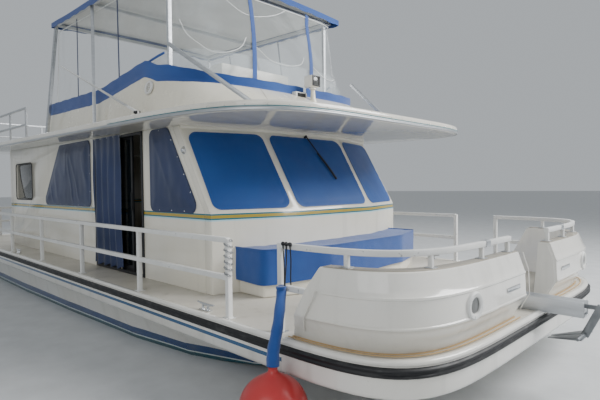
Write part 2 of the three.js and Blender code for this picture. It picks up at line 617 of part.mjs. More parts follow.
// Stations of the coaming from its aft end round to the centreline
const coamingStations = [
  ...[COAMING_AFT_X, CURTAIN.aftX, -460, 640, 1300].map((x) => ({ straightX: x })),
  ...bowAngles(-1.5, 0, 22).map((angle) => ({ angle })),
];
function coamingPoint(curve, { straightX, angle }, inset) {
  return straightX === undefined ? bowPoint(curve, angle, inset) : [straightX, -(curve.b - inset)];
}
function coamingRing(station, rows) {
  const top = coamingPoint(TOP, station, 0);
  const height = heightAt(coamingTop, top[0]);
  return rows.map(({ share, inset, rise }) => {
    const low = coamingPoint(BASE, station, inset);
    const high = coamingPoint(TOP, station, inset);
    return [low[0] + (high[0] - low[0]) * share, low[1] + (high[1] - low[1]) * share,
      height * Math.min(share, 1) + (rise ? rise(top[0]) : GAP)];
  });
}
function coamingHalf(rows) {
  return loft(coamingStations.map((station) => coamingRing(station, rows)));
}
const wholeRound = (half) => join(half, mirrored(half));
const coamingRows = [
  { share: 0, inset: 0 }, { share: 1, inset: 0 },
  { share: 1, inset: COAMING_WALL }, { share: 0, inset: COAMING_WALL },
];
const LIGHT = { x: 3330, base: 280, turn: 448 };
const lightPedestal = levelOnRoof(
  rod([LIGHT.x, 0, LIGHT.base], [LIGHT.x, 0, LIGHT.turn], 34, 16, 26), LIGHT.x);
add('bridge_coaming', join(onRoof(wholeRound(coamingHalf(coamingRows))), lightPedestal), creamGelcoat);

// Canvas skirt buttoned to the coaming's edge, in two lengths that meet on the centreline
const skirtHeight = (x) => {
  const share = THREE.MathUtils.clamp((x - 2300) / 800, 0, 1);
  return SKIRT.side + (SKIRT.front - SKIRT.side) * share;
};
const SEAT = 0.9;
const skirtSeat = () => SEAT;
const skirtRows = [
  { share: 1, inset: 4, rise: skirtSeat }, { share: 1, inset: 4, rise: skirtHeight },
  { share: 1, inset: 4 + SKIRT.thick, rise: skirtHeight },
  { share: 1, inset: 4 + SKIRT.thick, rise: skirtSeat },
];
const NOTCH = 4;
const noseNotch = block([0, 5000], [-NOTCH, 100], [0, 3000]);
addPair('coaming_skirt', onRoof(cut(coamingHalf(skirtRows), noseNotch)), blueCanvas);

// Square braces from the screen's aft corners down to the roof
const BRACE = { head: [2640, -1650, 841], foot: [3760, -1235, 25 + GAP] };
function brace() {
  const strutBar = bar(BRACE.head, BRACE.foot, 44);
  const foot = block([3700, 3860], [-1300, -1180], [GAP, 12]);
  return cut(join(strutBar, foot), block([2000, 5000], [-2000, 0], [-200, GAP]));
}
addPair('screen_brace', onRoof(brace()), aluminium);

// Bimini: crowned canvas on bows, rails and square poles that stand on the roof
const poles = [
  // foot x, y and head x, y
  [[-1140, 1760], [-1200, 1545]], [[820, 1760], [300, 1545]], [[2260, 1415], [2260, 1415]],
];
const FRAME = { railY: 1545, overhang: 40, underCanopy: 19.2, poleFoot: 9 };
function biminiFrame() {
  const topZ = (x) => canopyZ(x) - roofTop(x) - FRAME.underCanopy;
  const bowsX = poles.map(([, head]) => head[0]);
  const [aftX, foreX] = [bowsX[0] - FRAME.overhang, bowsX[2] + FRAME.overhang];
  const standing = [-1, 1].flatMap((side) => poles.map(([[x, y], [headX, headY]]) => join(
    bar([x, side * y, FRAME.poleFoot], [headX, side * headY, topZ(headX)], POLE),
    block([x - 60, x + 60], [side * y - 50, side * y + 50], [GAP, 10]))));
  const rails = [-1, 1].map((side) => bar([aftX, side * FRAME.railY, topZ(aftX)],
    [foreX, side * FRAME.railY, topZ(foreX)], POLE));
  const bows = bowsX.map((x) => bar([x, -FRAME.railY, topZ(x)], [x, FRAME.railY, topZ(x)], POLE));
  return join(...standing, ...rails, ...bows);
}
add('bimini_frame', onRoof(biminiFrame()), aluminium);

function biminiTop() {
  const { half, valance, crown, aftX, frontX } = BIMINI;
  const crowned = (inset, edge) => {
    const ys = Array.from({ length: 9 }, (_, i) => (half - inset) * (1 - i / 4));
    return [[-half + inset, edge], [half - inset, edge],
      ...ys.map((y) => [y, 14 - inset + crown * (1 - (y / half) ** 2)])];
  };
  return leaned(cut(profileAlong(crowned(0, -valance), aftX, frontX),
    profileAlong(crowned(12, -valance - 20), aftX + 12, frontX - 12)), canopyZ);
}
add('bimini_top', biminiTop(), blueCanvas);

// Clear curtains from the skirt up to the canvas top, joined round the front
const CURTAIN_HEAD = { x0: 1500, a: 915, b: 1500, n: 10 };
// Point on the curtain's slope at a station: share 0 is on the coaming, 1 at the canvas top
function curtainPoint(station, share, inset) {
  const low = coamingPoint(TOP, station, CURTAIN.inset + inset);
  const high = coamingPoint(CURTAIN_HEAD, station, inset);
  const lowZ = roofTop(low[0]) + heightAt(coamingTop, coamingPoint(TOP, station, 0)[0]) + SEAT + GAP;
  return [low[0] + (high[0] - low[0]) * share, low[1] + (high[1] - low[1]) * share,
    lowZ + (canopyZ(high[0]) - CURTAIN.belowCanopy - lowZ) * share];
}
const clearWall = (stations, inset, thick, shares) => wholeRound(loft(stations.map((station) => [
  ...shares.map((share) => curtainPoint(station, share, inset)),
  ...shares.toReversed().map((share) => curtainPoint(station, share, inset + thick))])));
const SCREEN = { aftX: 1830, low: 3380, apexX: 2640, apexZ: 3520, share: 0.32, inset: 32, thick: 5 };
add('bridge_curtain', clearWall(coamingStations.slice(1), 0, CURTAIN.thick, [0, SCREEN.share, 1]),
  clearSheet);

// Rigid clear screen inside the curtain, its aft edges sloping up to the braces' heads
function screen() {
  const aft = profileAcross([[-3000, 2000], [SCREEN.aftX, 2000], [SCREEN.aftX, SCREEN.low],
    [SCREEN.apexX, SCREEN.apexZ], [SCREEN.apexX, 6000], [-3000, 6000]], -3000, 3000);
  return cut(clearWall(coamingStations.slice(1), SCREEN.inset, SCREEN.thick, [0, SCREEN.share]), aft);
}
add('bridge_screen', screen(), clearSheet);

function aerial() {
  const pivot = [AERIAL.x, AERIAL.y, roofTop(AERIAL.x) + AERIAL.height];
  const tilt = THREE.MathUtils.degToRad(AERIAL.tilt);
  const at = (distance) =>
    [pivot[0] - distance * Math.cos(tilt), pivot[1], pivot[2] + distance * Math.sin(tilt)];
  const [heel, ferrule, whip] = [bar(at(-16), at(80), 24, 30), rod(at(60), at(260), 18, 10),
    rod(at(240), at(AERIAL.length), 16, 8, 13)];
  return join(heel, ferrule, whip);
}
add('aerial', aerial(), whiteBar);

// Searchlight on the coaming's nose
add('searchlight', levelOnRoof(join(
  rod([LIGHT.x, 0, LIGHT.turn + GAP], [LIGHT.x, 0, LIGHT.turn + 40], 40, 16),
  block([LIGHT.x - 95, LIGHT.x + 70], [-75, 75], [LIGHT.turn + 30, LIGHT.turn + 180])), LIGHT.x), gelcoat);

// Helm, wheel and seats on the flying bridge
const HELM = { x: [2250, 2620], y: [-900, 250], high: 760 };
const WHEEL = { x: HELM.x[0] - 90, y: -350, z: 620, radius: 190 };
const helmBox = profileAcross([[HELM.x[0], GAP], [HELM.x[1], GAP], [HELM.x[1], HELM.high],
  [HELM.x[0] + 130, HELM.high], [HELM.x[0], HELM.high - 200]], ...HELM.y);
const column = rod([WHEEL.x + 40 + GAP, WHEEL.y, WHEEL.z], [HELM.x[0] + 100, WHEEL.y, WHEEL.z], 26, 12);
add('helm_console', join(onRoof(helmBox), levelOnRoof(column, WHEEL.x)), creamGelcoat);
function wheel() {
  const rim = new THREE.TorusGeometry(WHEEL.radius, 13, 8, 28);
  rim.rotateY(Math.PI / 2);
  rim.translate(WHEEL.x, WHEEL.y, WHEEL.z);
  const spokes = [0, 1, 2].map((i) => {
    const turn = Math.PI / 2 + i * 2 * Math.PI / 3;
    return rod([WHEEL.x, WHEEL.y, WHEEL.z],
      [WHEEL.x, WHEEL.y + WHEEL.radius * Math.cos(turn), WHEEL.z + WHEEL.radius * Math.sin(turn)], 9, 8);
  });
  const hub = rod([WHEEL.x - 20, WHEEL.y, WHEEL.z], [WHEEL.x + 40, WHEEL.y, WHEEL.z], 34, 16);
  return join(toSolid(rim), ...spokes, hub);
}
add('helm_wheel', levelOnRoof(wheel(), WHEEL.x), blackPlastic);

// Double seat on a plinth
function seat() {
  return join(block([1480, 1820], [-700, 100], [GAP, 300]), block([1410, 1890], [-800, 200], [290, 420]),
    block([1400, 1500], [-800, 200], [400, 880]));
}
add('bridge_seat', onRoof(seat()), blueCanvas);

// Rail round the roof deck aft, and the ladder up to it
const ROOF_RAIL = { y: 1800, foreX: -2100, aftX: -5180, high: 600, bar: 32, gate: [700, 1300] };
// One side's rail turns in across the stern as far as the ladder's gate
function roofRail(side, gateY, sternPosts) {
  const { foreX, aftX, high, bar: width } = ROOF_RAIL;
  const y = side * ROOF_RAIL.y;
  const bars = [high, high / 2].flatMap((z) => [
    bar([foreX, y, z], [aftX, y, z], width), bar([aftX, y + side * width / 2, z], [aftX, gateY, z], width)]);
  const feet = [...[foreX, -3100, -4150, aftX].map((x) => [x, y]), ...sternPosts.map((at) => [aftX, at])];
  const posts = feet.map(([x, at]) => bar([x, at, GAP], [x, at, high + width / 2], width));
  return onRoof(join(...bars, ...posts));
}
const [GATE_STARBOARD, GATE_PORT] = ROOF_RAIL.gate;
add('roof_rail_starboard', roofRail(-1, GATE_STARBOARD, [-600, GATE_STARBOARD]), aluminium);
add('roof_rail_port', roofRail(1, GATE_PORT, [GATE_PORT]), aluminium);

const LADDER = { y: [800, 1200], foot: -5700, headX: -5350 };
function ladder() {
  const headZ = roofTop(LADDER.headX) + 250;
  const sides = LADDER.y.map((y) => bar([LADDER.foot, y, ON_DECK + 14], [LADDER.headX, y, headZ], 36));
  const edgeZ = roofTop(LADDER.headX);
  const hooks = LADDER.y.map((y) =>
    bar([LADDER.headX - 40, y, edgeZ + 40], [LADDER.headX + 120, y, edgeZ + 12], 30));
  const rungs = Array.from({ length: 7 }, (_, i) => {
    const share = (i + 1) / 8.4;
    const [x, z] = [LADDER.foot + (LADDER.headX - LADDER.foot) * share, ON_DECK + (headZ - ON_DECK) * share];
    return bar([x, LADDER.y[0], z], [x, LADDER.y[1], z], 60, 24);
  });
  const keepOff = [block([-6500, -4000], [0, 2000], [0, ON_DECK]),
    onRoof(block([ROOF.aftX - GAP, -4000], [0, 2000], [-200, GAP]))];
  return cut(join(...sides, ...hooks, ...rungs), ...keepOff);
}
add('ladder', ladder(), aluminium);

// Bench along the cabin's front under its fitted canvas
const BENCH = { x: [3200, 3940, 4200], y: [1400, 690], top: 1180, cover: 22, hem: 860, coverTop: 1210 };
function benchPlan(grow) {
  const [aft, shoulder, front] = [BENCH.x[0], BENCH.x[1] + grow, BENCH.x[2] + grow];
  const [end, flat] = [BENCH.y[0] + grow, BENCH.y[1]];
  return [[aft, -end], [shoulder, -end], [front, -flat], [front, flat], [shoulder, end], [aft, end]];
}
const cabinClear = (gap, low) => loft([low, SILL_Z].map((z) => cabinPlan(-gap, z)));
const benchBlock = plate(benchPlan(-BENCH.cover), ON_DECK, BENCH.top);
add('bench', cut(benchBlock, cabinClear(GAP + 0.7, ON_DECK - 50)), gelcoat);
const underCover = plate(benchPlan(-BENCH.cover + GAP), BENCH.hem - 60, BENCH.top + GAP);
add('bench_cover', cut(plate(benchPlan(0), BENCH.hem, BENCH.coverTop), underCover, cabinClear(GAP + 12, 500)),
  blueCanvas);

// Wiper over the centre window
const WIPER = { pivotRise: 1063, across: 683, tipAcross: 150, tipDrop: 450, level: 34, blade: 420 };
function wiper() {
  const { origin, u, v } = faces.centre;
  const normal = new THREE.Vector3().crossVectors(u, v);
  const at = (a, b, level) =>
    origin.clone().addScaledVector(u, a).addScaledVector(v, b).addScaledVector(normal, level);
  const pivot = at(WIPER.across, WIPER.pivotRise, 0);
  const tip = at(WIPER.across + WIPER.tipAcross, WIPER.pivotRise - WIPER.tipDrop, WIPER.level);
  const start = pivot.clone().addScaledVector(normal, WIPER.level);
  const along = tip.clone().sub(start).normalize();
  const fromPivot = (level) => pivot.clone().addScaledVector(normal, level).toArray();
  const fromTip = (distance) => tip.clone().addScaledVector(along, distance).toArray();
  const boss = rod(fromPivot(GAP), fromPivot(44), 16, 12);
  const arm = bar(start.toArray(), tip.toArray(), 20, 12);
  const blade = bar(fromTip(-WIPER.blade / 2), fromTip(WIPER.blade / 2), 16, 18);
  return join(boss, arm, blade);
}
add('wiper', wiper(), blackPlastic);

// Anchor beam through the bow gate, anchor in its roller
const BEAM = { x: [5000, 6430], y: 70, z: [ON_DECK, 850] };
function anchorBeam() {
  const channel = cut(block(BEAM.x, [-BEAM.y, BEAM.y], BEAM.z),
    block([BEAM.x[0] - 10, BEAM.x[1] + 10], [-BEAM.y + 14, BEAM.y - 14], [BEAM.z[0] + 14, BEAM.z[1] + 10]));
  return join(channel, rod([6400, -BEAM.y + 5, 768], [6400, BEAM.y - 5, 768], 26, 14));
}
add('anchor_beam', anchorBeam(), aluminium);
function anchor() {
  const shank = block([5560, 6560], [-11, 11], [794 + GAP, 828]);
  const crown = bar([6545, 0, 830], [6420, 0, 560], 26, 60);
  const stock = rod([6425, -230, 580], [6425, 230, 580], 13, 10);
  const flukeEnds = [
    // x, z, half thickness, outer y
    [6440, 570, 12, 170],
    [6150, 500, 3, 60],
  ];
  const root = 20;
  const flukes = [-1, 1].map((side) => loft(flukeEnds.map(([x, z, half, outer]) =>
    [[root, half], [outer, half], [outer, -half], [root, -half]].map(([y, rise]) => [x, side * y, z + rise]))));
  return join(shank, crown, stock, ...flukes);
}
add('anchor', anchor(), galvanised);

// Swim platform on brackets at the transom
const PLATFORM = { aftX: -6760, half: 1500, z: [330, 390], bracketY: [-1100, 0, 1100] };
const transomX = STERN_X + 40 - GAP;
const platformBracket = (y) => profileAcross([[transomX, 335], [-6600, 335], [transomX, 120]], y - 20, y + 20);
add('swim_platform', join(
  block([PLATFORM.aftX, STERN_X - GAP], [-PLATFORM.half, PLATFORM.half], PLATFORM.z),
  ...PLATFORM.bracketY.map(platformBracket)), nonSkid);

// Ball fender at the starboard bow, leaning on the flange's lower edge, and its line from the bow rail
const BALL = { x: 5100, z: 307, radius: 245, neck: 607, lineRadius: 38 };
BALL.y = -HALF_BEAM - Math.sqrt(BALL.radius ** 2 - (FLANGE_LOW - BALL.z) ** 2) - GAP;
function fender() {
  const ball = new THREE.SphereGeometry(BALL.radius, 24, 14);
  ball.rotateX(Math.PI / 2);
  ball.translate(BALL.x, BALL.y, BALL.z);
  const neck = rod([BALL.x, BALL.y, BALL.z + BALL.radius - 12], [BALL.x, BALL.y, BALL.neck], 32, 14, 24);
  return join(toSolid(ball), neck);
}
add('fender', fender(), redVinyl);
function fenderLine() {
  const railSide = -(HALF_BEAM - RAIL_MIDLINE) - RAIL_BAR / 2 - SEAT - BALL.lineRadius;
  const route = [[4905, railSide, RAIL_MID], [4912, railSide - 4, RAIL_MID - 60], [5040, -2220, 860],
    [BALL.x - 6, BALL.y + 14, BALL.neck + 110], [BALL.x, BALL.y, BALL.neck - 20]];
  const smooth = new THREE.CatmullRomCurve3(route.map((p) => new THREE.Vector3(...p)), false, 'centripetal');
  const section = new THREE.Shape(Array.from({ length: 16 }, (_, i) => new THREE.Vector2(
    BALL.lineRadius * Math.cos(i * Math.PI / 8), BALL.lineRadius * Math.sin(i * Math.PI / 8))));
  const line = new THREE.ExtrudeGeometry(section, { steps: 24, extrudePath: smooth, bevelEnabled: false });
  return cut(toSolid(line), block([BALL.x - 100, BALL.x + 100], [BALL.y - 100, BALL.y + 100],
    [BALL.neck - 100, BALL.neck + GAP]));
}
add('fender_line', fenderLine(), blueCanvas);

export default group;
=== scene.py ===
"""Looks of a family houseboat with a flying bridge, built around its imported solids.

Metres, +X to the bow, +Y to port, +Z up, with the origin amidships on the waterline.
"""

import json
import logging
import math
from dataclasses import dataclass
from enum import Enum
from typing import Callable, Sequence

import bmesh
import bpy
from mathutils import Matrix, Vector
from mathutils import noise as field_noise

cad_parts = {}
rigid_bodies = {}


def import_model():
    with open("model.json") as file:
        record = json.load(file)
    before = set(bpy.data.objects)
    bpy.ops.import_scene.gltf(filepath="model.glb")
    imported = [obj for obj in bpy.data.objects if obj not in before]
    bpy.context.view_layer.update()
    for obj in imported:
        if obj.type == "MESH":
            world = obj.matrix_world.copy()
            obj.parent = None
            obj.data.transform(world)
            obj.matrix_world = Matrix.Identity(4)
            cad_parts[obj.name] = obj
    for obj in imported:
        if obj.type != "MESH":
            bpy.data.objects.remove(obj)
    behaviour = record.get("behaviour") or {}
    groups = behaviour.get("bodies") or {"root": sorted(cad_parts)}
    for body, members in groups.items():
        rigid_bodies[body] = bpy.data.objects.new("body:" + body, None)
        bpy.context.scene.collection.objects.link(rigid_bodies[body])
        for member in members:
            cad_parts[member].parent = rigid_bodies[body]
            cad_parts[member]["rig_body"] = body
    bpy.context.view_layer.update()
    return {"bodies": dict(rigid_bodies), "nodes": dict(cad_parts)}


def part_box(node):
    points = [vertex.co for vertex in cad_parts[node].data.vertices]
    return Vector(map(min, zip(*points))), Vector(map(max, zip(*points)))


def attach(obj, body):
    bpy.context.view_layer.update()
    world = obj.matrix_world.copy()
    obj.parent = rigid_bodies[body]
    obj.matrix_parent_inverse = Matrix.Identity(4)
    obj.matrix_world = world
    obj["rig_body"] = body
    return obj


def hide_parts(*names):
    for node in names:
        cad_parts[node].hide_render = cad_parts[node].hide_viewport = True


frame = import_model()
log = logging.getLogger("houseboat")

Point = tuple[float, float, float]
Pair = tuple[float, float]
Socket = bpy.types.NodeSocket
BMesh = bmesh.types.BMesh


class Side(Enum):
    """A side of the boat, with its sign along Y."""

    STARBOARD = -1
    PORT = 1

    @property
    def label(self) -> str:
        """The ending that this side's names take."""
        return self.name.lower()


def linear(code: str) -> tuple[float, float, float, float]:
    """Turns a six-digit colour code into linear light.

    Args:
        code: The colour as RRGGBB.

    Returns:
        Red, green, blue and alpha, as a shader reads them.
    """
    parts = [int(code[i:i + 2], 16) / 255 for i in (0, 2, 4)]
    return (*[p / 12.92 if p <= 0.04045 else ((p + 0.055) / 1.055) ** 2.4 for p in parts], 1.0)


def smoothstep(low: float, high: float, value: float) -> float:
    """Rises smoothly from 0 at low to 1 at high."""
    t = min(max((value - low) / (high - low), 0.0), 1.0)
    return t * t * (3 - 2 * t)


def looked_up(rows: Sequence[Pair], place: float) -> float:
    """Value at a place along rows of a place and a value, level beyond the ends."""
    for (a, low), (b, high) in zip(rows, rows[1:]):
        if place <= b:
            return low + (high - low) * max(place - a, 0) / (b - a)
    return rows[-1][1]


def drift(a: float, b: float, c: float) -> float:
    """Smooth noise between about -1 and 1 at a place."""
    return field_noise.noise(Vector((a, b, c)))


class Nodes:
    """One material's node tree, with short calls for the nodes that the finishes share."""

    def __init__(self, name: str) -> None:
        """Starts a material with its principled shader."""
        self.material = bpy.data.materials.new(name)
        self.material.use_nodes = True
        self.tree = self.material.node_tree
        self.shader = self.tree.nodes["Principled BSDF"]
        where = self.add("ShaderNodeTexCoord")
        self.object, self.uv = where.outputs["Object"], where.outputs["UV"]

    def add(self, kind: str, inputs: dict | None = None, **settings: object) -> bpy.types.Node:
        """Adds a node.

        Args:
            kind: The node's type name.
            inputs: Values or sockets for its inputs, by name or number.
            **settings: Values for the node's own properties.

        Returns:
            The new node.
        """
        node = self.tree.nodes.new(kind)
        for key, value in settings.items():
            setattr(node, key, value)
        for key, value in (inputs or {}).items():
            self.feed(node.inputs[key], value)
        return node

    def feed(self, socket: Socket, value: object) -> None:
        """Links a socket to another, or sets its value, which may be a colour code."""
        if isinstance(value, bpy.types.NodeSocket):
            self.tree.links.new(value, socket)
        else:
            socket.default_value = linear(value) if isinstance(value, str) else value

    def set(self, **values: object) -> None:
        """Sets the shader's inputs, with _ in a name for a space."""
        for key, value in values.items():
            self.feed(self.shader.inputs[key.replace("_", " ")], value)

    def noise(self, scale: float, detail: float = 4, stretch: Point = (1, 1, 1),
              rough: float = 0.55) -> Socket:
        """Noise over the object's own coordinates, stretched by three scales."""
        where = self.add("ShaderNodeMapping", {"Vector": self.object, "Scale": stretch}).outputs[0]
        return self.add("ShaderNodeTexNoise", {"Vector": where, "Scale": scale, "Detail": detail,
                                               "Roughness": rough}).outputs[0]

    def ramp(self, value: Socket, stops: Sequence[tuple], constant: bool = False) -> Socket:
        """Colours or greys along a value.

        Args:
            value: The value that is looked up.
            stops: Pairs of a position and a grey, a colour or its code, rising.
            constant: Whether each colour holds until the next stop.

        Returns:
            The colour socket.
        """
        node = self.add("ShaderNodeValToRGB", {0: value})
        node.color_ramp.interpolation = "CONSTANT" if constant else "LINEAR"
        elements = node.color_ramp.elements
        while len(elements) < len(stops):
            elements.new(1.0)
        for element, (position, colour) in zip(elements, stops):
            element.position = position
            if isinstance(colour, (int, float)):
                colour = (colour, colour, colour, 1)
            element.color = linear(colour) if isinstance(colour, str) else colour
        return node.outputs[0]

    def blend(self, share: object, first: object, second: object) -> Socket:
        """Mixes two colours by a share."""
        node = self.add("ShaderNodeMix", {0: share, 6: first, 7: second}, data_type="RGBA")
        return node.outputs[2]

    def calc(self, operation: str, *values: object) -> Socket:
        """A math node on one to three values."""
        return self.add("ShaderNodeMath", dict(enumerate(values)), operation=operation).outputs[0]

    def rough(self, scale: float, detail: float, spread: float, least: float,
              stretch: Point = (1, 1, 1)) -> None:
        """Sets an uneven roughness: the least, and a spread by noise above it."""
        self.set(Roughness=self.calc("MULTIPLY_ADD", self.noise(scale, detail, stretch), spread, least))

    def axis(self, letter: str, vector: Socket | None = None) -> Socket:
        """One coordinate of the object's own place, or of a given vector."""
        return self.add("ShaderNodeSeparateXYZ", {0: vector or self.object}).outputs[letter]

    def bump(self, height: Socket, strength: float, distance: float) -> None:
        """Adds a bump to what the shader already has."""
        inputs = {"Height": height, "Strength": strength, "Distance": distance}
        normal = self.shader.inputs["Normal"]
        if normal.links:
            inputs["Normal"] = normal.links[0].from_socket
        self.feed(normal, self.add("ShaderNodeBump", inputs).outputs[0])


@dataclass(frozen=True)
class Finish:
    """A procedural finish; its material is made once and shared."""

    name: str
    slot: str

    def paint(self, n: Nodes) -> None:
        """Fills in the node tree."""
        raise NotImplementedError

    def material(self) -> bpy.types.Material:
        """The finish's material, made at its first use."""
        found = bpy.data.materials.get(self.name)
        if found:
            return found
        nodes = Nodes(self.name)
        self.paint(nodes)
        return nodes.material


@dataclass(frozen=True)
class Gelcoat(Finish):
    """Glossy gelcoat with faint yellowing, rain streaks and specks, and stripes by height up to an x."""

    colour: str
    roughness: float = 0.14
    grime: float = 0.16
    stripes: tuple[tuple[float, str], ...] = ()
    range_z: Pair = (0.0, 1.0)
    stripes_end: float = 100.0

    def paint(self, n: Nodes) -> None:
        """Paints the gelcoat."""
        base = self.colour
        if self.stripes:
            low, high = self.range_z
            level = n.add("ShaderNodeMapRange",
                          {"Value": n.axis("Z"), "From Min": low, "From Max": high}).outputs[0]
            stops = [((z - low) / (high - low), code) for z, code in self.stripes]
            ahead = n.calc("GREATER_THAN", n.axis("X"), self.stripes_end)
            base = n.blend(ahead, n.ramp(level, stops, constant=True), base)
        aged = n.ramp(n.noise(0.9, 5), [(0.38, (1.0, 1.0, 1.0, 1)), (0.72, (0.93, 0.915, 0.87, 1))])
        tinted = n.add("ShaderNodeMix", {0: 1.0, 6: base, 7: aged}, data_type="RGBA", blend_type="MULTIPLY")
        streak = n.ramp(n.noise(2.2, 6, (2.6, 2.6, 0.22)), [(0.52, 0.0), (0.78, 1.0)])
        speck = n.ramp(n.noise(38, 3), [(0.70, 0.0), (0.76, 1.0)])
        dirt = n.calc("MULTIPLY", n.calc("MAXIMUM", streak, speck), self.grime)
        n.set(Base_Color=n.blend(dirt, tinted.outputs[2], "6f6a5c"))
        n.rough(3.5, 5, 0.14, self.roughness - 0.05)
        n.set(Coat_Weight=0.5, Coat_Roughness=0.06, Specular_IOR_Level=0.5)
        n.bump(n.noise(26, 2), 0.04, 0.004)
        n.bump(n.noise(1.3, 2), 0.10, 0.01)


@dataclass(frozen=True)
class NonSkid(Finish):
    """Moulded deck with a fine raised pattern, worn and dusty."""

    colour: str
    pitch: float = 0.016

    def paint(self, n: Nodes) -> None:
        """Paints the deck."""
        worn = n.ramp(n.noise(1.1, 7), [(0.35, self.colour), (0.62, "b9b4a8"), (0.8, "a7a193")])
        stain = n.ramp(n.noise(5.5, 6), [(0.56, 0.0), (0.74, 0.35)])
        n.set(Base_Color=n.blend(stain, worn, "857d6d"))
        n.set(Roughness=n.calc("MULTIPLY_ADD", n.noise(4, 4), 0.25, 0.38), Coat_Weight=0.12,
              Coat_Roughness=0.25)
        turn = 2 * math.pi / self.pitch
        waves = [n.calc("SINE", n.calc("MULTIPLY", n.axis(letter), turn)) for letter in "XY"]
        n.bump(n.calc("MULTIPLY", *waves), 0.25, 0.0012)
        n.bump(n.noise(60, 3), 0.15, 0.001)


@dataclass(frozen=True)
class Rubber(Finish):
    """Weathered rubber or vinyl extrusion with scuffs."""

    colour: str
    roughness: float = 0.5

    def paint(self, n: Nodes) -> None:
        """Paints the rubber."""
        scuff = n.ramp(n.noise(9, 7, (1, 1, 2.5)), [(0.55, 0.0), (0.8, 0.5)])
        n.set(Base_Color=n.blend(scuff, self.colour, "5d5d5b"))
        n.rough(14, 4, 0.3, self.roughness - 0.12)
        n.bump(n.noise(120, 3), 0.2, 0.0008)


@dataclass(frozen=True)
class Paint(Finish):
    """Sprayed paint on metal or wood, chalky, with small chips."""

    colour: str
    under: str = "8a8d90"
    roughness: float = 0.42

    def paint(self, n: Nodes) -> None:
        """Paints the coat."""
        fresh = linear(self.colour)
        chalky = (*[c * 0.86 for c in fresh[:3]], 1)
        tone = n.ramp(n.noise(3, 5), [(0.3, fresh), (0.75, chalky)])
        chip = n.ramp(n.noise(22, 6), [(0.66, 0.0), (0.72, 0.8)])
        n.set(Base_Color=n.blend(chip, tone, self.under))
        n.rough(8, 4, 0.25, self.roughness - 0.1)
        n.bump(n.noise(90, 3), 0.12, 0.0008)


@dataclass(frozen=True)
class Metal(Finish):
    """Bare metal with a brushed or mottled face."""

    colour: str
    roughness: float = 0.34
    stretch: Point = (1, 1, 1)
    tarnish: float = 0.25

    def paint(self, n: Nodes) -> None:
        """Paints the metal."""
        dull = n.ramp(n.noise(6, 6, self.stretch), [(0.4, 0.0), (0.75, self.tarnish)])
        n.set(Base_Color=n.blend(dull, self.colour, "6e7072"), Metallic=0.92)
        n.rough(18, 5, 0.3, self.roughness - 0.1, self.stretch)
        n.bump(n.noise(150, 3, self.stretch), 0.12, 0.0006)


@dataclass(frozen=True)
class Canvas(Finish):
    """Woven marine canvas on the piece's own UV map in metres, sun-faded in places."""

    colour: str
    faded: str
    pitch: float = 0.0036
    roughness: float = 0.78

    def paint(self, n: Nodes) -> None:
        """Paints the weave."""
        tone = n.ramp(n.noise(1.7, 6), [(0.34, self.colour), (0.78, self.faded)])
        thread = [n.calc("SINE", n.calc("MULTIPLY", n.axis(letter, n.uv), 2 * math.pi / self.pitch))
                  for letter in "XY"]
        weave = n.calc("MULTIPLY", *thread)
        shade = n.calc("MULTIPLY_ADD", weave, 0.06, 0.06)
        n.set(Base_Color=n.blend(shade, tone, "0a1a38"), Roughness=self.roughness)
        n.set(Sheen_Weight=0.35, Sheen_Roughness=0.5)
        n.bump(weave, 0.35, 0.0006)
        n.bump(n.noise(7, 4), 0.22, 0.006)


@dataclass(frozen=True)
class CoatedVinyl(Finish):
    """Smooth coated cloth with a soft gloss, patches of dust and fine creases."""

    colour: str
    dust: str
    roughness: float = 0.42
    crease: float = 0.25

    def paint(self, n: Nodes) -> None:
        """Paints the coated cloth."""
        tone = n.ramp(n.noise(1.2, 6), [(0.36, self.colour), (0.8, self.dust)])
        n.set(Base_Color=tone, Coat_Weight=0.25, Coat_Roughness=0.3)
        n.rough(5, 5, 0.25, self.roughness - 0.12)
        n.bump(n.noise(3.2, 5, (1, 1, 0.6)), self.crease, 0.012)
        n.bump(n.noise(190, 2), 0.1, 0.0005)


@dataclass(frozen=True)
class ClearVinyl(Finish):
    """Clear flexible sheet, slightly rippled and hazed."""

    haze: float = 0.16

    def paint(self, n: Nodes) -> None:
        """Paints the sheet."""
        cloud = n.calc("MULTIPLY_ADD", n.ramp(n.noise(2.4, 5), [(0.45, 0.0), (0.8, 1.0)]), 0.16, self.haze)
        n.set(Base_Color="dfe7ea", Roughness=0.06, Alpha=cloud, Specular_IOR_Level=0.8, Coat_Weight=1.0,
              Coat_Roughness=0.03)
        n.bump(n.noise(1.6, 4, (1, 1, 0.7)), 0.9, 0.03)
        n.bump(n.noise(5.5, 3, (1, 1, 0.5)), 0.4, 0.01)
        n.material.surface_render_method = "BLENDED"


@dataclass(frozen=True)
class Glass(Finish):
    """Tinted window glass."""

    tint: str
    clear: float

    def paint(self, n: Nodes) -> None:
        """Paints the glass."""
        film = n.calc("MULTIPLY_ADD", n.noise(4, 4), 0.12, 1.0 - self.clear)
        n.set(Base_Color=self.tint, Roughness=0.03, Alpha=film, Coat_Weight=1.0, Coat_Roughness=0.02)
        n.bump(n.noise(1.2, 2), 0.05, 0.005)


@dataclass(frozen=True)
class Plastic(Finish):
    """Moulded plastic with a fine grain and worn spots."""

    colour: str
    roughness: float = 0.4

    def paint(self, n: Nodes) -> None:
        """Paints the plastic."""
        bright = tuple(min(c * 1.5 + 0.015, 1) for c in linear(self.colour)[:3]) + (1,)
        n.set(Base_Color=n.ramp(n.noise(6, 5), [(0.35, self.colour), (0.85, bright)]))
        n.rough(30, 3, 0.25, self.roughness - 0.1)
        n.bump(n.noise(260, 2), 0.2, 0.0004)


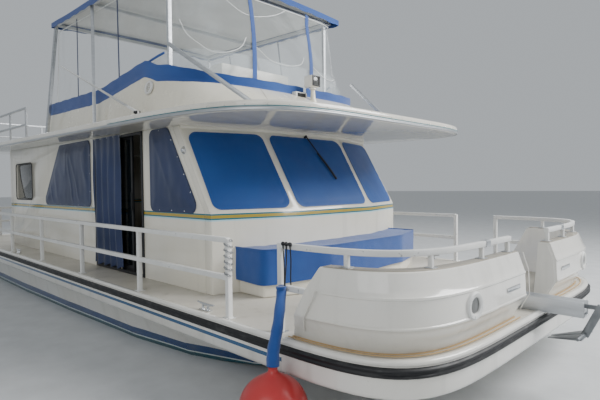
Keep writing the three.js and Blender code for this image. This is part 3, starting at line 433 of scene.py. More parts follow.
@dataclass(frozen=True)
class Board(Finish):
    """Bare wooden board with its grain."""

    colour: str

    def paint(self, n: Nodes) -> None:
        """Paints the wood."""
        grain = n.noise(14, 8, (1, 6, 1), 0.7)
        n.set(Base_Color=n.ramp(grain, [(0.3, self.colour), (0.7, "8f6a35")]), Roughness=0.7)
        n.bump(grain, 0.3, 0.001)


WHITE, CREAM, TEAL, GOLD, PALE = "e9e7e1", "ece8dc", "16707f", "b39a35", "bfe0ea"
# Stripes by height: teal bottom paint, a pale line, the boot stripe, then a light grey band from 0.15 m up to
# the blue stripe, which is painted shade for the recessed hull side under the flange, then the blue stripe
# and white gelcoat.
HULL_GELCOAT = Gelcoat("striped_hull_gelcoat", "hull_gelcoat", WHITE, grime=0.22, range_z=(-1.0, 1.0),
                       stripes_end=4.98, stripes=((-1.0, "174c58"), (0.045, "c9d3d3"), (0.062, "123c70"),
                                                  (0.15, "d9d8d3"), (0.553, "15527f"), (0.58, WHITE)))
DECK_GELCOAT = Gelcoat("deck_gelcoat", "gelcoat", "e7e5df", roughness=0.12)
CABIN_GELCOAT = Gelcoat("cabin_gelcoat", "gelcoat", CREAM, roughness=0.16, range_z=(0.0, 4.0), stripes=(
    (0.0, CREAM), (1.483, PALE), (1.490, TEAL), (1.508, "7f8f40"), (1.515, GOLD), (1.537, TEAL),
    (1.553, PALE), (1.561, CREAM)))
ROOF_GELCOAT = Gelcoat("roof_gelcoat", "gelcoat", "e6e3da", roughness=0.06, grime=0.12)
BRIDGE_GELCOAT = Gelcoat("bridge_gelcoat", "cream_gelcoat", "e9e4d4", roughness=0.24, grime=0.12)
CAP_GELCOAT = Gelcoat("cap_gelcoat", "gelcoat", "a39b8c", roughness=0.45, grime=0.5)
DECK = NonSkid("deck_non_skid", "non_skid", "cdc8bd")
RUB_RUBBER = Rubber("rub_rubber", "black_rubber", "141518")
GASKET = Rubber("gasket_rubber", "black_rubber", "1b1c1f", 0.6)
WHITE_PAINT = Paint("white_rail_paint", "white_bar", "e2e2df")
BRIGHT_BAR = Metal("satin_aluminium", "aluminium", "c6c9cc", 0.36, (0.6, 0.6, 5))
POLISHED = Metal("polished_steel", "aluminium", "d5d7d9", 0.18, tarnish=0.1)
GALVANISED = Metal("galvanised_steel", "galvanised", "8d9194", 0.5, tarnish=0.6)
BRONZE = Metal("cast_bronze", "bronze", "a47c45", 0.4, tarnish=0.5)
ENGINE_PAINT = Paint("engine_enamel", "engine_paint", "4b5054", "26282a", 0.4)
BLUE_CANVAS = Canvas("woven_blue_canvas", "blue_canvas", "0a4089", "134f9c")
FRONT_VINYL = CoatedVinyl("front_cover_vinyl", "blue_canvas", "0c468f", "13549f", 0.55, 0.12)
NAVY_VINYL = CoatedVinyl("side_cover_vinyl", "navy_canvas", "17294f", "2c3b66", 0.38, 0.35)
CLEAR = ClearVinyl("clear_vinyl", "clear_sheet")
PIPING = Plastic("white_piping", "white_bar", "dfe0dc", 0.5)
DARK_GLASS = Glass("tinted_glass", "dark_glass", "161d22", 0.35)
BLACK = Plastic("moulded_plastic", "black_plastic", "15161a")
RED_VINYL = CoatedVinyl("red_fender_vinyl", "red_vinyl", "b3191f", "c2433f", 0.3, 0.06)
CHAIN = Metal("chain_steel", "galvanised", "9a9da0", 0.45, tarnish=0.5)
CAULK = Rubber("tan_caulk", "cream_gelcoat", "b99a6c", 0.6)
PLY = Board("bare_board", "cream_gelcoat", "b48a4c")
# Near-black finish for the dark inside of an opening: painted shade.
RECESS_SHADE = Plastic("dark_recess", "black_plastic", "08090a", 0.7)


def bar(width: float, height: float, radius: float, steps: int = 2) -> list[Pair]:
    """Outline of a rectangle with round corners, centred on its middle.

    Args:
        width: Size along the first direction.
        height: Size along the second direction.
        radius: Corner radius.
        steps: Segments in each corner.

    Returns:
        Points in turning order.
    """
    points = []
    for quarter, (a, b) in enumerate(((1, 1), (-1, 1), (-1, -1), (1, -1))):
        for i in range(steps + 1):
            angle = math.pi / 2 * (quarter + i / steps)
            points.append((a * (width / 2 - radius) + radius * math.cos(angle),
                           b * (height / 2 - radius) + radius * math.sin(angle)))
    return points


def shares(count: int) -> list[float]:
    """Even steps from 0 to 1, both ends among them."""
    return [i / count for i in range(count + 1)]


def turns(count: int) -> list[float]:
    """Angles that step evenly round a circle."""
    return [2 * math.pi * i / count for i in range(count)]


def rod(radius: float, sides: int = 12) -> list[Pair]:
    """Outline of a round section."""
    return [(radius * math.cos(t), radius * math.sin(t)) for t in turns(sides)]


def sweep(rings: Sequence[Sequence[Point]], joined: bool = False, closed: bool = True,
          capped: bool = True) -> BMesh:
    """Draws a skin from ring to ring by extruding the first ring's edges.

    Args:
        rings: Lists of points of equal length.
        joined: Whether the last ring meets the first again.
        closed: Whether each ring is a closed outline.
        capped: Whether the two ends are filled.

    Returns:
        The new mesh.
    """
    bm = bmesh.new()
    current = [bm.verts.new(p) for p in rings[0]]
    following = current[1:] + current[:1] if closed else current[1:]
    edges = [bm.edges.new(pair) for pair in zip(current, following)]
    if capped and closed and not joined:
        bm.faces.new(current)
    for ring in list(rings[1:]) + ([rings[0]] if joined else []):
        made = set(bmesh.ops.extrude_edge_only(bm, edges=edges)["geom"])
        current = [next(e.other_vert(v) for e in v.link_edges if e.other_vert(v) in made) for v in current]
        for vert, point in zip(current, ring):
            vert.co = point
        following = current[1:] + current[:1] if closed else current[1:]
        edges = [bm.edges.get(pair) for pair in zip(current, following)]
    if capped and closed and not joined:
        bm.faces.new(current)
    bmesh.ops.remove_doubles(bm, verts=bm.verts, dist=1e-6)
    bmesh.ops.recalc_face_normals(bm, faces=bm.faces)
    return bm


def along(path: Sequence[Point], section: Sequence[Pair], up: Point = (0, 0, 1), joined: bool = False,
          scale: Callable[[float], float] | None = None) -> BMesh:
    """Sweeps a section along a path, mitred at its corners.

    Args:
        path: Points of the centre line.
        section: Outline whose first direction lies across the path and second towards up.
        up: Direction that the section's second direction keeps to.
        joined: Whether the path is a closed loop.
        scale: Size of the section by the share of the path.

    Returns:
        The new mesh.
    """
    points = [Vector(p) for p in path]
    count = len(points)
    rings = []
    for i, point in enumerate(points):
        before = points[i - 1] if i or joined else point
        after = points[(i + 1) % count] if i < count - 1 or joined else point
        first, second = (point - before), (after - point)
        first = first.normalized() if first.length > 1e-9 else second.normalized()
        second = second.normalized() if second.length > 1e-9 else first
        tangent = (first + second).normalized()
        side = tangent.cross(Vector(up)).normalized()
        rise = side.cross(tangent)
        mitre = 1 / max(math.sqrt(max((1 + first.dot(second)) / 2, 0.05)), 0.3)
        turn = second - first
        grow = scale(i / (count - 1)) if scale else 1.0
        flat = abs(turn.dot(side)) >= abs(turn.dot(rise))
        rings.append([point + side * (a * grow * (mitre if flat else 1))
                      + rise * (b * grow * (1 if flat else mitre))
                      for a, b in section])
    return sweep(rings, joined=joined)


def rounded(bm: BMesh, edges: Sequence, width: float, segments: int) -> BMesh:
    """Rounds edges of a mesh by a width."""
    bmesh.ops.bevel(bm, geom=edges, offset=width, segments=segments, profile=0.5, affect="EDGES", material=-1,
                    clamp_overlap=True)
    return bm


def box(low: Point, high: Point, round_by: float = 0.004, segments: int = 2) -> BMesh:
    """Block between two corners with rounded edges."""
    bm = bmesh.new()
    size = [b - a for a, b in zip(low, high)]
    centre = [(a + b) / 2 for a, b in zip(low, high)]
    bmesh.ops.create_cube(bm, size=1, matrix=Matrix.Translation(centre) @ Matrix.Diagonal((*size, 1)))
    return rounded(bm, bm.edges[:], round_by, segments) if round_by else bm


def turned(profile: Sequence[Pair], centre: Point, axis: Point, steps: int = 32) -> BMesh:
    """Spins a profile into a round piece.

    Args:
        profile: Pairs of a radius and a distance along the axis.
        centre: Where the distance is zero.
        axis: Direction of the axis.
        steps: Segments round the axis.

    Returns:
        The new mesh.
    """
    bm = bmesh.new()
    verts = [bm.verts.new((r, 0, d)) for r, d in profile]
    edges = [bm.edges.new(pair) for pair in zip(verts, verts[1:])]
    bmesh.ops.spin(bm, geom=verts + edges, cent=(0, 0, 0), axis=(0, 0, 1), angle=2 * math.pi, steps=steps,
                   use_merge=True)
    bmesh.ops.remove_doubles(bm, verts=bm.verts, dist=1e-6)
    turn = Vector((0, 0, 1)).rotation_difference(Vector(axis)).to_matrix().to_4x4()
    bmesh.ops.transform(bm, matrix=Matrix.Translation(centre) @ turn, verts=bm.verts)
    bmesh.ops.recalc_face_normals(bm, faces=bm.faces)
    return bm


def curve_through(points: Sequence[Point], steps: int) -> list[Vector]:
    """Smooth curve through points, with a number of steps between each two."""
    p = [Vector(q) for q in points]
    p = [p[0] * 2 - p[1]] + p + [p[-1] * 2 - p[-2]]
    curve = []
    for a, b, c, d in zip(p, p[1:], p[2:], p[3:]):
        for t in (k / steps for k in range(steps)):
            curve.append(0.5 * (2 * b + (c - a) * t + (2 * a - 5 * b + 4 * c - d) * t * t
                                + (3 * b - a - 3 * c + d) * t ** 3))
    return curve + [p[-2]]


def merged(*meshes: BMesh) -> BMesh:
    """Gathers several meshes into the first."""
    whole = meshes[0]
    for other in meshes[1:]:
        mesh = bpy.data.meshes.new("gathered")
        other.to_mesh(mesh)
        other.free()
        whole.from_mesh(mesh)
        bpy.data.meshes.remove(mesh)
    return whole


def mirrored(bm: BMesh) -> BMesh:
    """Flips a mesh to the other side of the centreline."""
    bmesh.ops.scale(bm, vec=(1, -1, 1), verts=bm.verts)
    bmesh.ops.reverse_faces(bm, faces=bm.faces)
    return bm


def facing(bm: BMesh, way: Point) -> BMesh:
    """Turns an open sheet's faces so that they look one way on the whole."""
    bm.normal_update()
    if sum(face.normal.dot(Vector(way)) for face in bm.faces) < 0:
        bmesh.ops.reverse_faces(bm, faces=bm.faces)
    return bm


def trim(bm: BMesh, point: Point, normal: Point, fill: bool = True) -> BMesh:
    """Cuts away what lies beyond a plane and fills the cut."""
    geom = bm.verts[:] + bm.edges[:] + bm.faces[:]
    made = bmesh.ops.bisect_plane(bm, geom=geom, dist=1e-6, plane_co=point, plane_no=normal, clear_outer=True)
    if fill:
        cut = [e for e in made["geom_cut"] if isinstance(e, bmesh.types.BMEdge) and e.is_boundary]
        bmesh.ops.holes_fill(bm, edges=cut, sides=0)
    return bm


def map_uv(bm: BMesh, place: Callable[[Vector, Vector], Pair]) -> BMesh:
    """Gives each corner a UV in metres from its place and its face's normal."""
    layer = bm.loops.layers.uv.verify()
    for face in bm.faces:
        for loop in face.loops:
            loop[layer].uv = place(loop.vert.co, face.normal)
    return bm


def box_uv(bm: BMesh) -> BMesh:
    """Lays the weave flat on each face along the two axes that it faces least."""
    def place(co: Vector, normal: Vector) -> Pair:
        """Picks the two coordinates across the normal."""
        size = [abs(v) for v in normal]
        main = size.index(max(size))
        return tuple(co[i] for i in range(3) if i != main)
    bm.normal_update()
    return map_uv(bm, place)


def linked(name: str, data: bpy.types.ID) -> bpy.types.Object:
    """Puts a mesh, camera or light into the scene as an object."""
    made = bpy.data.objects.new(name, data)
    bpy.context.scene.collection.objects.link(made)
    return made


def to_object(name: str, bm: BMesh) -> bpy.types.Object:
    """Puts a mesh into the scene as an object at the origin."""
    mesh = bpy.data.meshes.new(name)
    bm.to_mesh(mesh)
    bm.free()
    return linked(name, mesh)


def place(name: str, bm: BMesh, finish: Finish, body: str = "boat", stands_for: str = "",
          smooth: float = 34, level: int = 0, cloth: bool = False) -> bpy.types.Object:
    """Finishes a mesh as a piece of the boat.

    Args:
        name: The piece's name.
        bm: Its mesh, which is used up.
        finish: Its finish.
        body: The CAD body that it moves with.
        stands_for: The CAD node that it replaces, if any.
        smooth: Edges sharper than this many degrees stay sharp.
        level: Levels of subdivision.
        cloth: Whether its weave is laid out with a UV map.

    Returns:
        The piece.
    """
    if cloth and not bm.loops.layers.uv:
        box_uv(bm)
    made = to_object(name, bm)
    made.data.materials.append(finish.material())
    made.data.shade_smooth()
    made.data.set_sharp_from_angle(angle=math.radians(smooth))
    if level:
        made.modifiers.new("round", "SUBSURF").levels = level
        made.modifiers["round"].render_levels = level
    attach(made, body)
    if stands_for:
        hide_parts(stands_for)
    log.info("%s: %d faces on %s", name, len(made.data.polygons), body)
    return made


def place_pair(name: str, build: Callable[[], BMesh], finish: Finish, body: str = "boat", node: str = "",
               **settings: object) -> list[bpy.types.Object]:
    """Places a starboard piece and its mirror image.

    Args:
        name: The pair's name, without its side.
        build: Makes the starboard mesh.
        finish: The pair's finish.
        body: The body, or its name without its side.
        node: The CAD node's name without its side, if the pair replaces one.
        **settings: Passed on to place.

    Returns:
        The two pieces.
    """
    made = []
    for side in Side:
        bm = build()
        if side is Side.PORT:
            mirrored(bm)
        own = body if body in frame["bodies"] else f"{body}_{side.label}"
        own_node = f"{node}_{side.label}" if node else ""
        made.append(place(f"{name}_{side.label}", bm, finish, own, own_node, **settings))
    return made


def carve(made: bpy.types.Object, smooth: float, *cutters: BMesh) -> None:
    """Cuts meshes out of a piece, then keeps edges sharper than a number of degrees sharp."""
    for bm in cutters:
        tool = to_object("cutter", bm)
        modifier = made.modifiers.new("carve", "BOOLEAN")
        modifier.object, modifier.operation, modifier.solver = tool, "DIFFERENCE", "EXACT"
        view = bpy.context.evaluated_depsgraph_get()
        result = bpy.data.meshes.new_from_object(made.evaluated_get(view), depsgraph=view)
        made.modifiers.remove(modifier)
        result.name, made.data = made.data.name, result
        bpy.data.objects.remove(tool)
    made.data.set_sharp_from_angle(angle=math.radians(smooth))


def dressed(node: str, finish: Finish, width: float = 0.004, segments: int = 2, name: str = "",
            smooth: float = 34, merge: bool = True) -> bpy.types.Object:
    """Copies a CAD node, merges its triangles into faces and rounds its edges.

    Args:
        node: The node that the copy replaces.
        finish: Its finish.
        width: Width of the rounding.
        segments: Segments of the rounding.
        name: The piece's name, if it isn't the node's with an ending.
        smooth: Edges sharper than this many degrees stay sharp.
        merge: Whether flat triangles are merged first, which fails on a side with holes in it.

    Returns:
        The piece.
    """
    source = frame["nodes"][node]
    bm = bmesh.new()
    bm.from_mesh(source.data)
    bmesh.ops.remove_doubles(bm, verts=bm.verts, dist=2e-5)
    if merge:
        bmesh.ops.dissolve_limit(bm, angle_limit=math.radians(0.7), verts=bm.verts, edges=bm.edges)
    sharp = [e for e in bm.edges if e.is_manifold and e.calc_face_angle() > math.radians(34)]
    if width:
        rounded(bm, sharp, width, segments)
    return place(name or f"{node}_finished", bm, finish, source["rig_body"], node, smooth=smooth)


@dataclass(frozen=True)
class PlanCurve:
    """Rounded bow plan: a superellipse with its centre on the centreline."""

    x0: float
    a: float
    b: float
    n: float

    def point(self, angle: float, inset: float = 0.0) -> Pair:
        """Point at an angle from straight ahead, moved in by inset."""
        c, s = math.cos(angle), math.sin(angle)
        reach = (abs(c / (self.a - inset)) ** self.n + abs(s / (self.b - inset)) ** self.n) ** (-1 / self.n)
        return self.x0 + reach * c, reach * s

    def angles(self, start: float, stop: float, spacing: float) -> list[float]:
        """Angles that step evenly along the curve's length.

        Args:
            start: First angle.
            stop: Last angle.
            spacing: Largest distance between points.

        Returns:
            The angles, in order.
        """
        steps = 720
        fine = [start + (stop - start) * share for share in shares(steps)]
        points = [Vector(self.point(angle)) for angle in fine]
        run = [0.0]
        for p, q in zip(points, points[1:]):
            run.append(run[-1] + (q - p).length)
        count = max(2, math.ceil(run[-1] / spacing))
        picked, k = [], 0
        for i in range(count + 1):
            goal = run[-1] * i / count
            while k < steps - 1 and run[k + 1] < goal:
                k += 1
            share = (goal - run[k]) / max(run[k + 1] - run[k], 1e-12)
            picked.append(fine[k] + (fine[k + 1] - fine[k]) * min(max(share, 0), 1))
        return picked

    def outline(self, aft_x: float, inset: float, corner: float, spacing: float = 0.07) -> list[Pair]:
        """Whole plan outline with the round bow and a square stern with round corners."""
        quarter = math.pi / 2
        points = [self.point(angle, inset) for angle in self.angles(-quarter, quarter, spacing)]
        half, r = self.b - inset, max(corner - inset, 0.02)
        run = self.x0 - aft_x - inset - r
        steps = int(run / 0.4)
        points += [(self.x0 - run * i / steps, half) for i in range(1, steps)]
        for sign, start in ((1, quarter), (-1, 2 * quarter)):
            points += [(aft_x + inset + r + r * math.cos(start + quarter * i / 8),
                        sign * (half - r) + r * math.sin(start + quarter * i / 8)) for i in range(9)]
        points += [(self.x0 - run * i / steps, -half) for i in range(steps - 1, 0, -1)]
        return points


BOW = PlanCurve(4.0, 2.105, 2.135, 6.5)
STERN_X, STERN_CORNER = -6.1, 0.22
DECK_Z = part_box("deck")[1].z


def bow_levels(levels: Sequence[Pair], joined: bool = False) -> BMesh:
    """Slab or ring over the boat's plan, from levels of inset and height."""
    rings = [[(x, y, z) for x, y in BOW.outline(STERN_X, inset, STERN_CORNER)] for inset, z in levels]
    return sweep(rings, joined=joined)


class RoofPlan:
    """Plan and slope of the roof, shared by everything that stands on it."""

    curve = PlanCurve(1.32, 3.325, 2.10, 5.4)
    aft_x = -5.3
    corner = 0.30
    front_x = 4.645
    under_front = 2.503
    slope = 0.016
    thick = 0.097

    @classmethod
    def top(cls, x: float) -> float:
        """Height of the roof's top at x."""
        return cls.under_front + (cls.front_x - x) * cls.slope + cls.thick

    @classmethod
    def levels(cls, levels: Sequence[Pair], joined: bool = False) -> BMesh:
        """Slab or ring over the roof's plan, from levels of inset and height above its top."""
        rings = [[(x, y, cls.top(x) + z) for x, y in cls.curve.outline(cls.aft_x, inset, cls.corner)]
                 for inset, z in levels]
        return sweep(rings, joined=joined)


@dataclass
class Hull:
    """Hull with its wide flange at deck level, rub rail, gunwale, deck, hatch and drive."""

    flange_low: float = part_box("rub_rail")[0].z - 0.155
    well: tuple[Pair, float, float] = ((-5.48, -4.02), 1.1, -0.11)
    hatch: tuple[Pair, float] = ((-5.5, -4.0), 0.74)
    strut_at: Pair = (-5.12, -0.8)
    shaft: Point = (0.9935, 0, 0.1142)
    cleats: tuple[Pair, ...] = ((3.86, 2.03), (-1.9, 2.03), (-5.35, 2.03))

    def build(self) -> None:
        """Builds the whole sub-assembly."""
        self.flange()
        self.bottom()
        self.rims()
        self.deck()
        self.drive()
        self.fittings()

    def flange(self) -> None:
        """Slab at deck level with its lower edge rolled under."""
        low, top = self.flange_low, DECK_Z - 0.02
        slab = [(0.06, low), (0.025, low + 0.004), (0.008, low + 0.016), (0, low + 0.04), (0, top)]
        made = place("hull_flange", bow_levels(slab), HULL_GELCOAT, stands_for="hull", smooth=40)
        (x0, x1), half, _ = self.well
        carve(made, 40, box((x0, -half, low - 0.1), (x1, half, 0.6), 0),
              box((x0, -0.72, 0.59), (x1, 0.72, 0.8), 0))

    def bottom(self) -> None:
        """Shallow V bottom with hard chines and a spray strake, open at the engine well."""
        stations = [(STERN_X + 0.04, 1.96, 1.86, -0.12, -0.43), (-4, 1.97, 1.865, -0.12, -0.5),
                    (-2, 1.98, 1.87, -0.12, -0.56), (0, 1.975, 1.83, -0.105, -0.6),
                    (2, 1.96, 1.76, -0.07, -0.6), (3, 1.915, 1.64, -0.03, -0.6),
                    (3.8, 1.82, 1.42, 0.03, -0.56), (4.4, 1.62, 1.15, 0.095, -0.46),
                    (4.9, 1.35, 0.82, 0.17, -0.33), (5.2, 1.09, 0.60, 0.226, -0.16),
                    (5.5, 0.76, 0.36, 0.29, 0.04), (5.88, 0.09, 0.05, 0.40, 0.33)]
        rings = []
        for x, sheer, chine, chine_z, keel in stations:
            lip = min(0.035, chine * 0.2)
            rise = self.flange_low + 0.04 - chine_z
            half = [(chine * 0.5, keel + (chine_z - keel) * 0.47), (chine - lip, chine_z - 0.012),
                    (chine, chine_z), (chine + 0.004, chine_z + 0.012),
                    (chine + (sheer - chine) * 0.5, chine_z + rise * 0.5), (sheer, chine_z + rise)]
            rings.append([(x, 0, keel)] + [(x, -y, z) for y, z in half]
                         + [(x, y, z) for y, z in reversed(half)])
        made = place("hull_bottom", sweep(rings), HULL_GELCOAT, stands_for="hull", smooth=25)
        (x0, x1), half, floor = self.well
        carve(made, 25, box((x0, -half, floor), (x1, half, 0.7), 0))

    def rims(self) -> None:
        """Rub rail with its insert, and the white gunwale strip above it."""
        low, high = (corner.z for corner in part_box("rub_rail"))
        mid, out = (low + high) / 2, -0.024
        ring = [(-0.001, low), (out * 0.6, low + 0.003), (out, low + 0.014), (out, mid - 0.012),
                (out + 0.006, mid - 0.006), (out + 0.006, mid + 0.006), (out, mid + 0.012),
                (out, high - 0.014), (out * 0.6, high - 0.003), (-0.001, high)]
        place("rub_rail_rubber", bow_levels(ring, joined=True), RUB_RUBBER, stands_for="rub_rail", smooth=50)
        z = DECK_Z
        strip = [(0.0, z - 0.028), (-0.004, z - 0.022), (-0.004, z - 0.004), (0.004, z + 0.006),
                 (0.034, z + 0.008), (0.046, z + 0.001), (0.046, z - 0.028)]
        place("gunwale_strip", bow_levels(strip, joined=True), DECK_GELCOAT, smooth=50)

    def deck(self) -> None:
        """Deck plate with its hatch opening, and the hatch."""
        low, high = (corner.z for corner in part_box("deck"))
        made = place("deck_plate", bow_levels([(0.04, low), (0.04, high - 0.003), (0.043, high)]), DECK,
                     stands_for="deck")
        (x0, x1), half = self.hatch
        carve(made, 34, box((x0, -half, low - 0.1), (x1, half, high + 0.1), 0))
        dressed("engine_hatch", DECK, 0.003)

    def drive(self) -> None:
        """Engines, shafts with their screws, struts and rudders."""
        for side in Side:
            dressed(f"engine_{side.label}", ENGINE_PAINT, 0.03, 3)
            dressed(f"screw_{side.label}", BRONZE, 0.003)
            dressed(f"rudder_{side.label}", BRONZE, 0.006)
        place_pair("engine_fittings", self.engine_fittings, BLACK)
        place_pair("shaft_strut", self.strut, BRONZE)

    def engine_fittings(self) -> BMesh:
        """Valve covers, an exhaust riser and a pulley on the starboard engine."""
        low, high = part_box("engine_starboard")
        top, mid = high.z, (low.y + high.y) / 2
        covers = [box((low.x + 0.15, y - 0.06, top - 0.01), (high.x - 0.15, y + 0.06, top + 0.05), 0.02)
                  for y in (mid - 0.17, mid + 0.17)]
        riser = along([(low.x + 0.2, mid, top), (low.x + 0.2, mid, top + 0.05),
                       (low.x - 0.1, mid, top + 0.05), (low.x - 0.14, mid, top - 0.2)], rod(0.04),
                      up=(0, 1, 0))
        groove = [(0, 0), (0.13, 0), (0.13, 0.02), (0.11, 0.03), (0.13, 0.04), (0.13, 0.06), (0, 0.06)]
        pulley = turned(groove, (high.x, mid, low.z + 0.3), (1, 0, 0))
        return merged(*covers, riser, pulley)

    def strut(self) -> BMesh:
        """Ring and leg that carry the starboard shaft under the hull."""
        x, y = self.strut_at
        z = -0.56 + 0.18 * 0.115
        ring = turned([(0.024, -0.06), (0.044, -0.058), (0.048, -0.04), (0.048, 0.04), (0.044, 0.058),
                       (0.024, 0.06), (0.024, -0.06)], (x, y, z), self.shaft)
        leg = along([(x, y, z + 0.03), (x + 0.04, y, -0.28)], bar(0.09, 0.022, 0.01), up=(0, 1, 0))
        return merged(ring, leg)

    def fittings(self) -> None:
        """Mooring cleats along both side decks."""
        def cleat(x: float, y: float) -> BMesh:
            """Horn cleat that lies fore and aft."""
            bends = ((-0.13, 0.062), (-0.06, 0.055), (0, 0.052), (0.06, 0.055), (0.13, 0.062))
            horn = along([(x + dx, y, DECK_Z + dz) for dx, dz in bends], rod(0.013),
                         scale=lambda t: 0.6 + 0.5 * math.sin(math.pi * t))
            legs = [turned([(0, 0), (0.022, 0), (0.014, 0.02), (0.013, 0.052), (0, 0.052)],
                           (x + dx, y, DECK_Z), (0, 0, 1), 16)
                    for dx in (-0.04, 0.04)]
            base = box((x - 0.075, y - 0.026, DECK_Z), (x + 0.075, y + 0.026, DECK_Z + 0.008), 0.003)
            return merged(horn, base, *legs)
        place_pair("deck_cleats", lambda: merged(*[cleat(x, -y) for x, y in self.cleats]), POLISHED)


@dataclass
class Bow:
    """Bulwark halves with their ribs, ports and plates, the bow rails, and the anchor on its beam."""

    top_z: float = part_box("bow_bulwark_starboard")[1].z
    gate_half: float = 0.40
    slant: Pair = (4.99, 5.28)
    rail_inset: float = 0.135
    rail_bar: float = 0.044
    rail_top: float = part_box("bow_rail_starboard")[1].z
    feet: tuple[float, ...] = (0.245, 0.46, 0.70, 0.93)

    def build(self) -> None:
        """Builds the whole sub-assembly."""
        place_pair("bulwark_shell", self.shell, DECK_GELCOAT, node="bow_bulwark", smooth=30)
        place_pair("bulwark_cap", self.cap, CAP_GELCOAT)
        place_pair("bulwark_bead", self.bead, CAULK)
        place_pair("bulwark_groove", self.groove, DECK_GELCOAT)
        place_pair("bulwark_port_frame", self.port_frame, WHITE_PAINT)
        place_pair("bulwark_port_glass", self.port_glass, DARK_GLASS)
        place_pair("bulwark_plate", self.plate, POLISHED)
        place_pair("bow_rail_bar", self.rail, WHITE_PAINT, node="bow_rail")
        place_pair("bow_rail_plates", self.rail_plates, BRIGHT_BAR)
        self.ground_tackle()

    def slant_x(self, z: float) -> float:
        """Where the bulwark's aft end lies at a height."""
        low, high = self.slant
        return low + (high - low) * (z - DECK_Z) / (self.top_z - DECK_Z)

    def surface(self, z: float) -> float:
        """Inset of the bulwark's outer face at a height."""
        rows = [(DECK_Z, 0.115), (0.8, 0.085), (0.92, 0.015), (1.12, 0.025), (self.top_z, 0.08)]
        return looked_up(rows, z)

    def shell(self) -> BMesh:
        """Starboard half, cut at the slanted end and at the gate."""
        rows = []
        for z in (0.7203, 0.735, 0.76, 0.8, 0.84, 0.88, 0.905, 0.913, 0.925, 0.933, 0.98, 1.04, 1.098, 1.106,
                  1.119, 1.127, 1.17, 1.21, 1.245, 1.268):
            ridge = 0.006 if z in (0.913, 0.925, 1.106, 1.119) else 0.0
            rows.append((self.surface(z), z, ridge))
        rings = []
        for angle in BOW.angles(-1.4, 0.06, 0.045):
            x = BOW.point(angle)[0]
            ring = []
            for inset, z, ridge in rows:
                bead = ridge * smoothstep(0.09, 0.15, x - self.slant_x(z))
                ring.append((*BOW.point(angle, inset - bead), z))
            for inset, z in ((0.086, self.top_z - 0.001), (0.182, self.top_z - 0.001), (0.19, 1.268),
                             (0.23, 0.7203)):
                ring.append((*BOW.point(angle, inset), z))
            rings.append(ring)
        bm = sweep(rings)
        low, high = self.slant
        trim(bm, (low, 0, DECK_Z), (-(self.top_z - DECK_Z), 0, high - low))
        trim(bm, (0, -self.gate_half, 0), (0, 1, 0))
        edges = [e for e in bm.edges if e.is_manifold and e.calc_face_angle() > math.radians(55)
                 and max(v.co.z for v in e.verts) > DECK_Z + 0.03]
        return rounded(bm, edges, 0.009, 3)

    def wall_strip(self, rows: Sequence[tuple[float, float]], start: float, stop: float) -> BMesh:
        """Strip that follows the bow plan between two angles, from rows of inset and height."""
        rings = [[(*BOW.point(angle, inset), z) for inset, z in rows]
                 for angle in BOW.angles(start, stop, 0.05)]
        return sweep(rings)

    def cap(self) -> BMesh:
        """Weathered capping on the bulwark."""
        z = self.top_z
        bm = self.wall_strip([(0.09, z), (0.092, z + 0.005), (0.178, z + 0.005), (0.18, z)], -1.24, 0.05)
        trim(bm, (self.slant_x(z) + 0.02, 0, 0), (-1, 0, 0))
        return trim(bm, (0, -self.gate_half - 0.02, 0), (0, 1, 0))

    def bead(self) -> BMesh:
        """Lines of sealant at the bulwark's foot."""
        beads = []
        for inset, width in ((0.108, 0.012), (0.062, 0.008)):
            z = DECK_Z + (0.001 if inset > 0.1 else 0.008)
            rows = [(inset - width / 2, z), (inset - width / 3, z + 0.006), (inset + width / 3, z + 0.006),
                    (inset + width / 2, z)]
            strip = self.wall_strip(rows, -1.28, 0.0)
            trim(strip, (self.slant[0], 0, 0), (-1, 0, 0))
            beads.append(trim(strip, (0, -self.gate_half, 0), (0, 1, 0)))
        return merged(*beads)

    def groove(self) -> BMesh:
        """Raised lines: beside the slanted end, and at the moulding's joint."""
        path = []
        for share in shares(14):
            z = 0.80 + 0.33 * share
            x = self.slant_x(z) + 0.11
            path.append((x, -BOW.b + self.surface(z) - self.side_fall(x), z))
        slanted = along(path, bar(0.012, 0.01, 0.004), up=(0, 1, 0))
        joint = [(*self.at(-0.152, z, 0.0), z) for z in (0.78, 0.84, 0.92, 1.02, 1.12, 1.2, 1.262)]
        return merged(slanted, along(joint, bar(0.005, 0.006, 0.002), up=(1, 0, 0)))

    def side_fall(self, x: float) -> float:
        """How far the plan has left the straight side at x."""
        reach = abs((x - BOW.x0) / BOW.a)
        return BOW.b * (1 - (1 - reach ** BOW.n) ** (1 / BOW.n)) if reach < 1 else 0.0

    def at(self, angle: float, z: float, out: float) -> Pair:
        """Plan point of the bulwark's outer face, out from it."""
        return BOW.point(angle, self.surface(z) - out)

    def port_frame(self) -> BMesh:
        """Round moulded frame of the port in the bulwark's face."""
        centre, axis = self.port_place()
        ring = turned([(0.058, 0.0), (0.062, 0.012), (0.072, 0.018), (0.09, 0.018), (0.1, 0.01),
                       (0.103, -0.012), (0.058, -0.012), (0.058, 0.0)], centre, axis, 40)
        screws = []
        across = axis.orthogonal().normalized()
        for i in range(6):
            spoke = Matrix.Rotation(math.pi * i / 3, 3, axis) @ across
            screws.append(turned([(0, 0.003), (0.004, 0.0015), (0.005, 0)],
                                 centre + spoke * 0.081 + axis * 0.018, axis, 8))
        return merged(ring, *screws)

    def port_glass(self) -> BMesh:
        """Pane of the port."""
        centre, axis = self.port_place()
        profile = [(0, -0.004), (0.059, -0.004), (0.059, 0.002), (0.04, 0.004), (0, 0.004)]
        return turned(profile, centre, axis, 40)

    def port_place(self) -> tuple[Vector, Vector]:
        """Centre of the starboard port on the bulwark's face, and its outward axis."""
        angle, z = -0.567, 1.0
        x, y = self.at(angle, z, 0.0)
        ahead, behind = Vector((*self.at(angle + 0.02, z, 0), z)), Vector((*self.at(angle - 0.02, z, 0), z))
        axis = (ahead - behind).cross(Vector((0, 0, 1))).normalized()
        return Vector((x, y, z)), axis

